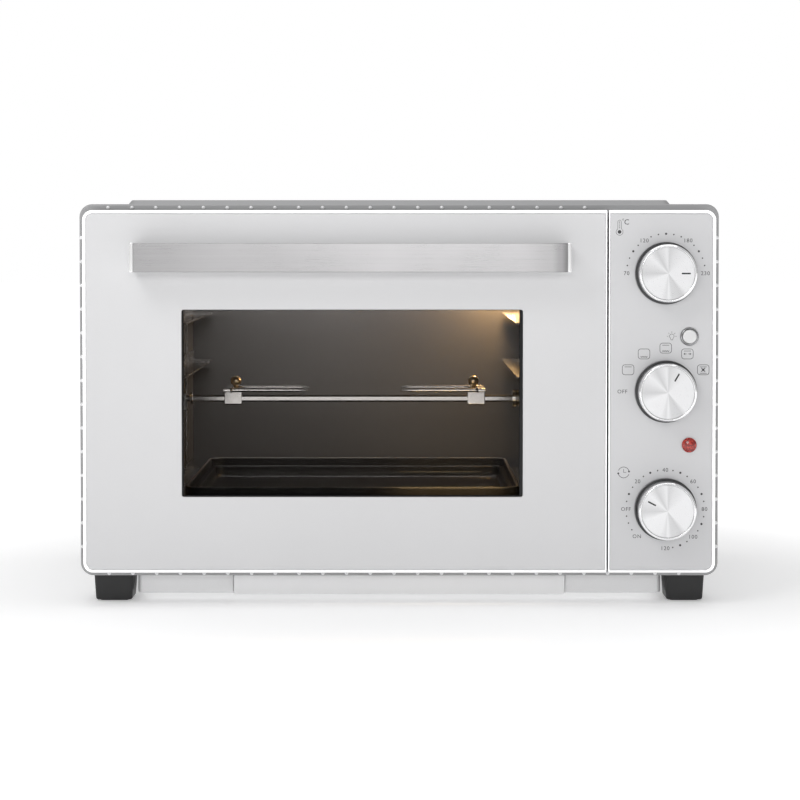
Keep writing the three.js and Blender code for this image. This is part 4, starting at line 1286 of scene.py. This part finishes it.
def knurled(name, color):
    """Plated thumbscrew head, slightly yellowed by heat, with diamond knurling."""
    f = Finish(name)
    ridges = f.noise(1300, 1, 0.4, f.place((1, 1, 2.2)))
    stain = f.noise(240, 3)
    return f.surface(
        Base_Color=f.shade(color, 0.8 + stain * 0.4),
        Metallic=0.9,
        Roughness=0.22 + ridges * 0.14,
        height=ridges * 6e-5,
    )


yellowed = knurled("thumbscrew plating", (0.8, 0.66, 0.45))
for side, way in (("left", 1), ("right", -1)):
    low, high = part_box(side + "_fork")
    base = low.x + 6 * mm if way > 0 else high.x - 6 * mm
    top_bar = spit_z + 7 * mm
    mesh = bmesh.new()
    jaw = rounded(-6 * mm, 6 * mm, -5.6 * mm, 7.2 * mm, 1.3 * mm, steps=4)
    opening = rounded(-loose, loose, -loose, loose, 1.2 * mm, steps=3)
    jaw_path = scaled([(0.7, 0), (0.2, 0.2), (0, 0.7), (0, 15.3), (0.2, 15.8), (0.7, 16)])
    pressed(
        mesh, jaw, jaw_path, along_x(spit_y, spit_z, base - way * 6 * mm, way),
        [(opening, [(0, 0), (0, 16 * mm)])],
    )
    bar_shape = rounded(-23.5 * mm, 23.5 * mm, 7.0 * mm, 10.5 * mm, 1.2 * mm, steps=4)
    bar_path = scaled([(0.8, 0), (0.2, 0.2), (0, 0.8), (0, 6.2), (0.2, 6.8), (0.8, 7)])
    pressed(mesh, bar_shape, bar_path, along_x(spit_y, spit_z, base - way * 6 * mm, way))
    for offset in (-21.5 * mm, 21.5 * mm):
        prong = scaled([(0, -0.4), (1.2, -0.4), (1.75, 0.4), (1.75, 66), (1.5, 69)])
        prong += scaled([(0.9, 72.8), (0.3, 75.2), (0, 75.6)])
        turned(mesh, prong, (way, 0, 0), (base - way * 4 * mm, spit_y + offset, top_bar + 2 * mm), sides=20)
        weld_bead = scaled([(0, 0), (2.3, 0), (2.5, 0.6), (2.1, 1.5), (1.76, 2.1), (0, 2.1)])
        turned(
            mesh, weld_bead, (way, 0, 0), (base + way * 0.8 * mm, spit_y + offset, top_bar + 2 * mm), sides=20
        )
    piece(side + "_fork_frame", mesh, plate_chrome, "fork_" + side, side + "_fork", sharp=30)

    low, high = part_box(side + "_thumbscrew")
    x = (low.x + high.x) / 2
    tall = high.z - low.z
    crown = (high.x - low.x) / 2 - 0.3 * mm
    screw = bmesh.new()
    shank = scaled([(0, 0), (1.7, 0), (2.1, 0.5)])
    for thread in range(9):
        shank += [(2.15 * mm, (1 + thread) * mm), (1.8 * mm, (1.5 + thread) * mm)]
    middle_of_head = tall - crown - 0.05 * mm
    globe = []
    for step in range(3, 25):
        turn = math.pi * step / 24
        globe.append((crown * math.sin(turn), middle_of_head - crown * math.cos(turn)))
    turned(screw, shank + [(2.0 * mm, 10.2 * mm)] + globe, (0, 0, 1), (x, spit_y, low.z), sides=40)
    piece(side + "_thumbscrew_knob", screw, yellowed, "screw_" + side, side + "_thumbscrew")

# ---- Drive and fan ----
# Between the cavity and the casing: the geared motor that turns the spit, and the fan with its motor.
# The motors' cans are zinc-plated and the gearbox is screwed together at its corners.

refinish("rotisserie_motor", zinc, 1.2 * mm, 3)
refinish("fan_motor", zinc, 1.0 * mm, 3)
refinish("fan_wheel", zinc_plate("fan plate", (0.6, 0.6, 0.61), 0.3), 0.2 * mm)
motor_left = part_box("rotisserie_motor")[0].x
corners = [
    (motor_left + 30 * mm, spit_y + a * 21 * mm, spit_z + b * 22 * mm) for a in (-1, 1) for b in (-1, 1)
]
domed_screws("gearbox_screws", corners, (1, 0, 0), "cabinet", screw_zinc)
nut = bmesh.new()
hexagon = scaled([(0, 0), (4, 0), (4, 2.2), (3.4, 2.8), (0, 2.8)])
fan_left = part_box("fan_wheel")[0].x
turned(nut, hexagon, (-1, 0, 0), (fan_left, *centre_of("fan_wheel", "yz")), sides=6)
piece("fan_nut", nut, screw_zinc, "fan")

# ---- Cavity lamp ----
# A small bulb behind a domed glass in the right wall, in a moulded socket. Its warm light falls on
# the back wall and on the spit.

lamp_low, lamp_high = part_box("lamp_glass")
lamp_at = centre_of("lamp_glass", "yz")
dome_radius = (lamp_high.z - lamp_low.z) / 2
dome_depth = lamp_high.x - lamp_low.x
dome = bmesh.new()
wall = 1.7 * mm
arch = [math.pi / 2 * i / 12 for i in range(13)]
outside = [(dome_radius * math.sin(t), dome_depth * math.cos(t) ** 0.8) for t in arch[:-1]] + [
    (dome_radius, 0.4 * mm), (dome_radius - 0.3 * mm, 0)
]
inside = [
    ((dome_radius - wall) * math.sin(t), (dome_depth - wall) * math.cos(t) ** 0.8)
    for t in reversed(arch[:-1])
]
turned(dome, outside + [(dome_radius - wall, 0)] + inside, (-1, 0, 0), (lamp_high.x, *lamp_at), sides=64)
piece(
    "lamp_dome", dome, window_glass("lamp glass", (0.99, 0.96, 0.9)), "cabinet", "lamp_glass"
)

bulb_low, bulb_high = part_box("lamp_bulb")
lit = Finish("lit bulb")
hot = lit.noise(90, 1)
lit_glass = lit.surface(
    Base_Color=(0.9, 0.85, 0.7), Roughness=0.2 + hot * 0.05,
    Emission_Color=lit.shade((1.0, 0.72, 0.36), 0.9 + hot * 0.2), Emission_Strength=6.0,
)
bulb = bmesh.new()
bulb_long = bulb_high.x - bulb_low.x
globe = [
    (8 * mm * math.sin(math.pi * i / 20), bulb_long - 8 * mm - 8 * mm * math.cos(math.pi * i / 20))
    for i in range(6, 21)
]
turned(bulb, scaled([(0, 0), (4.6, 0), (4.6, 2.4)]) + globe, (-1, 0, 0), (bulb_high.x, *lamp_at), sides=32)
piece("bulb", bulb, lit_glass, "cabinet", "lamp_bulb")
refinish("lamp_holder", ceramic, 1 * mm, 3)

# ---- Baking tray ----
# Deep-drawn steel tray in black enamel, with a rolled rim and round corners, on the lowest ledges.

tray_low, tray_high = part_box("baking_tray")
tray = bmesh.new()
tall = tray_high.z - tray_low.z
gauge, lip_roll = 1.2 * mm, 1.5 * mm
rim_inset, rim_drop = 6 * mm, 9 * mm
below_rim = tall - rim_drop
rim_turns = [math.pi * i / 10 for i in range(11)]
roll = [(lip_roll * (1 - math.cos(t)), tall - lip_roll + lip_roll * math.sin(t)) for t in rim_turns]
tray_path = [
    (rim_inset + 6 * mm, 0), (rim_inset + 2.2 * mm, 0.7 * mm), (rim_inset + 0.6 * mm, 3 * mm),
    (rim_inset, 6 * mm),
]
tray_path += [
    (rim_inset, below_rim - 0.8 * mm), (rim_inset - 0.8 * mm, below_rim), (0.8 * mm, below_rim),
    (0, below_rim + 0.8 * mm), *roll,
]
tray_path += [
    (2 * lip_roll, below_rim + gauge), (rim_inset + gauge - 0.8 * mm, below_rim + gauge),
    (rim_inset + gauge, below_rim + 0.2 * mm),
]
tray_path += [
    (rim_inset + gauge, 6 * mm), (rim_inset + 2.0 * mm, 3.4 * mm), (rim_inset + 3.4 * mm, 1.8 * mm),
    (rim_inset + 7 * mm, gauge),
]
tray_outline = rounded(tray_low.x, tray_high.x, tray_low.y, tray_high.y, 16 * mm, steps=12)
pressed(tray, tray_outline, tray_path, facing("below", tray_low.z))
# The crest of the rolled rim is painted much lighter than the rest: a painted highlight.
tray_enamel = vitreous_enamel("tray enamel", (0.012, 0.0115, 0.011), 0.34, 0.12, tray_high.z - 0.5 * mm)
piece("tray", tray, tray_enamel, "cabinet", "baking_tray")

# ---- Rear panel ----
# Zinc-plated sheet with a field pressed out round the cavity, louvres and vents, screwed to the
# casing. The mains lead's gland sits at its lower corner.

refinish("rear_panel", zinc_plate("rear zinc", (0.46, 0.47, 0.48), 0.45), 0.6 * mm, 3)
sheet_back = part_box("rear_panel")[1].y - 8 * mm
edge_x, foot_z, head_z = wall_x - 9 * mm, 0.034, roof - 10 * mm
rear_spots = [(side * edge_x, sheet_back, z) for side in (-1, 1) for z in (0.06, 0.182, 0.31)]
rear_spots += [(x, sheet_back, z) for x in (-0.2, 0.0, 0.2) for z in (foot_z, head_z)]
domed_screws("rear_screws", rear_spots, (0, 1, 0), "cabinet", screw_zinc)

gland_low, gland_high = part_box("cord_gland")
gland_x, gland_z = centre_of("cord_gland")
gland_radius = (gland_high.x - gland_low.x) / 2
gland_long = gland_high.y - gland_low.y
gland = bmesh.new()
profile = scaled([(3.6, 0), (5.6, 0), (6, 0.5)])
for ridge in range(3):
    start = 1.2 * mm + ridge * 1.5 * mm
    profile += [
        (6.6 * mm + ridge * mm, start), (6.6 * mm + ridge * mm, start + 0.7 * mm),
        (6.3 * mm + ridge * mm, start + 1.1 * mm),
    ]
flange = gland_long - 10.3 * mm
profile += [
    (gland_radius - 0.6 * mm, flange), (gland_radius, flange + 0.5 * mm), (gland_radius, flange + 1.7 * mm)
]
profile += [
    (gland_radius - 0.4 * mm, flange + 2 * mm), (7.8 * mm, flange + 2 * mm), (7.8 * mm, gland_long - 0.6 * mm)
]
profile += [(7.2 * mm, gland_long), (3.6 * mm, gland_long), (3.6 * mm, 0)]
turned(gland, profile, (0, -1, 0), (gland_x, gland_high.y, gland_z), sides=48)
piece(
    "cord_bushing", gland, grained_plastic("gland plastic", (0.012, 0.012, 0.012), 0.5), "cabinet",
    "cord_gland",
)

# Screws along the lower edge of each side of the casing
for side, name in ((-1, "casing_screws_left"), (1, "casing_screws_right")):
    sunk = [(side * wall_x - side * 1.6 * mm, flange_y + y * mm, 0.036) for y in (40, 165, 290)]
    domed_screws(name, sunk, (side, 0, 0), "cabinet", screw_zinc)

# ---- Studio ----
# A pale floor whose glow is weaker near the oven, as painted shade round it; a plain bright surround and soft
# light from large panels: one in front on the left, one behind the camera and one overhead. Three small lights
# stand in for the cavity's own.

floor = bmesh.new()
spread = 14.0
floor_corners = [(-spread, -spread), (spread, -spread), (spread, spread), (-spread, spread)]
floor.faces.new([floor.verts.new((x, y, 0.0)) for x, y in floor_corners])
floor_data = bpy.data.meshes.new("floor")
floor.to_mesh(floor_data)
floor.free()
floor_object = bpy.data.objects.new("floor", floor_data)
bpy.context.scene.collection.objects.link(floor_object)
floor_paint = Finish("floor paint")
floor_tone = floor_paint.noise(0.8, 2)
floor_x, floor_y = floor_paint.axes()[:2]
# Painted shade: the floor glows less than half as much close to the oven as it does farther off.
glow = (floor_x * floor_x + floor_y * floor_y).step(0.1, 0.5, 0.45, 1.0)
floor_data.materials.append(floor_paint.surface(
    Base_Color=floor_paint.shade((0.9, 0.9, 0.905), 0.985 + floor_tone * 0.03), Roughness=0.75,
    Emission_Color=floor_paint.shade((1, 1, 1), glow), Emission_Strength=0.65,
))


def soft_panel(name, place, aim, size, power, color=(1, 1, 1), hidden=False):
    light = bpy.data.lights.new(name, "AREA")
    light.shape, light.size, light.size_y = "RECTANGLE", *size
    light.energy, light.color = power, color
    lamp = bpy.data.objects.new(name, light)
    lamp.location = place
    lamp.rotation_euler = (Vector(aim) - Vector(place)).to_track_quat("-Z", "Y").to_euler()
    lamp.visible_camera = not hidden
    bpy.context.scene.collection.objects.link(lamp)


middle = Vector((0, 0, 0.17))
soft_panel("key panel", (-0.7, -1.1, 1.2), middle, (0.7, 0.6), 5)
soft_panel("front panel", (-0.1, -2.4, 0.66), middle, (0.9, 0.3), 5)
soft_panel("top panel", (0, 0.2, 2.4), middle, (2.4, 1.6), 14)

soft_panel(
    "cavity panel", (-0.04, back_face - 0.1, 0.3), (-0.04, back_face, 0.285), (0.29, 0.02), 0.85, hidden=True
)
bulb_light = bpy.data.lights.new("bulb light", "POINT")
bulb_light.energy, bulb_light.color, bulb_light.shadow_soft_size = 1.15, (1.0, 0.62, 0.26), 0.012
bulb_glow = bpy.data.objects.new("bulb light", bulb_light)
bulb_glow.location = (lamp_low.x - 0.014, *lamp_at)
bulb_glow.visible_camera = False
bpy.context.scene.collection.objects.link(bulb_glow)

pane_back = left_low.y + 4 * mm
tray_front = (0.045, pane_back + 26 * mm, 0.089)
amber = (1.0, 0.7, 0.32)
soft_panel("pane glow", (0.045, pane_back, 0.105), tray_front, (0.09, 0.004), 0.05, amber, hidden=True)


class Surround(Finish):
    """The world's node tree, built with the same method."""

    def __init__(self, name):
        self.world = bpy.data.worlds.new(name)
        self.world.use_nodes = True
        self.tree = self.world.node_tree


around = Surround("surround")
lighting = around.node("ShaderNodeBackground", None, {"Color": (1, 1, 1, 1), "Strength": 0.47})
backdrop = around.node("ShaderNodeBackground", None, {"Color": (1, 1, 1, 1), "Strength": 1.0})
seen_directly = around.node("ShaderNodeLightPath")
both = around.node("ShaderNodeMixShader", None, {0: seen_directly, 1: lighting, 2: backdrop})
around.feed(around.tree.nodes["World Output"].inputs["Surface"], both)
bpy.context.scene.world = around.world
bpy.context.scene.view_settings.view_transform = "Standard"

# ---- Camera ----
# A long lens straight in front of the door, a little below the top of the oven and tipped down slightly.

camera = bpy.data.cameras.new("camera")
camera.lens, camera.sensor_width = 101.8, 36.0
camera.shift_y = -0.12
viewer = bpy.data.objects.new("camera", camera)
distance = 1.906
looking_down = math.radians(1.64)
viewer.location = (0.0007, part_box("door_panel")[0].y - distance, 0.3111)
viewer.rotation_euler = (math.pi / 2 - looking_down, 0, 0)
bpy.context.scene.collection.objects.link(viewer)
bpy.context.scene.camera = viewer
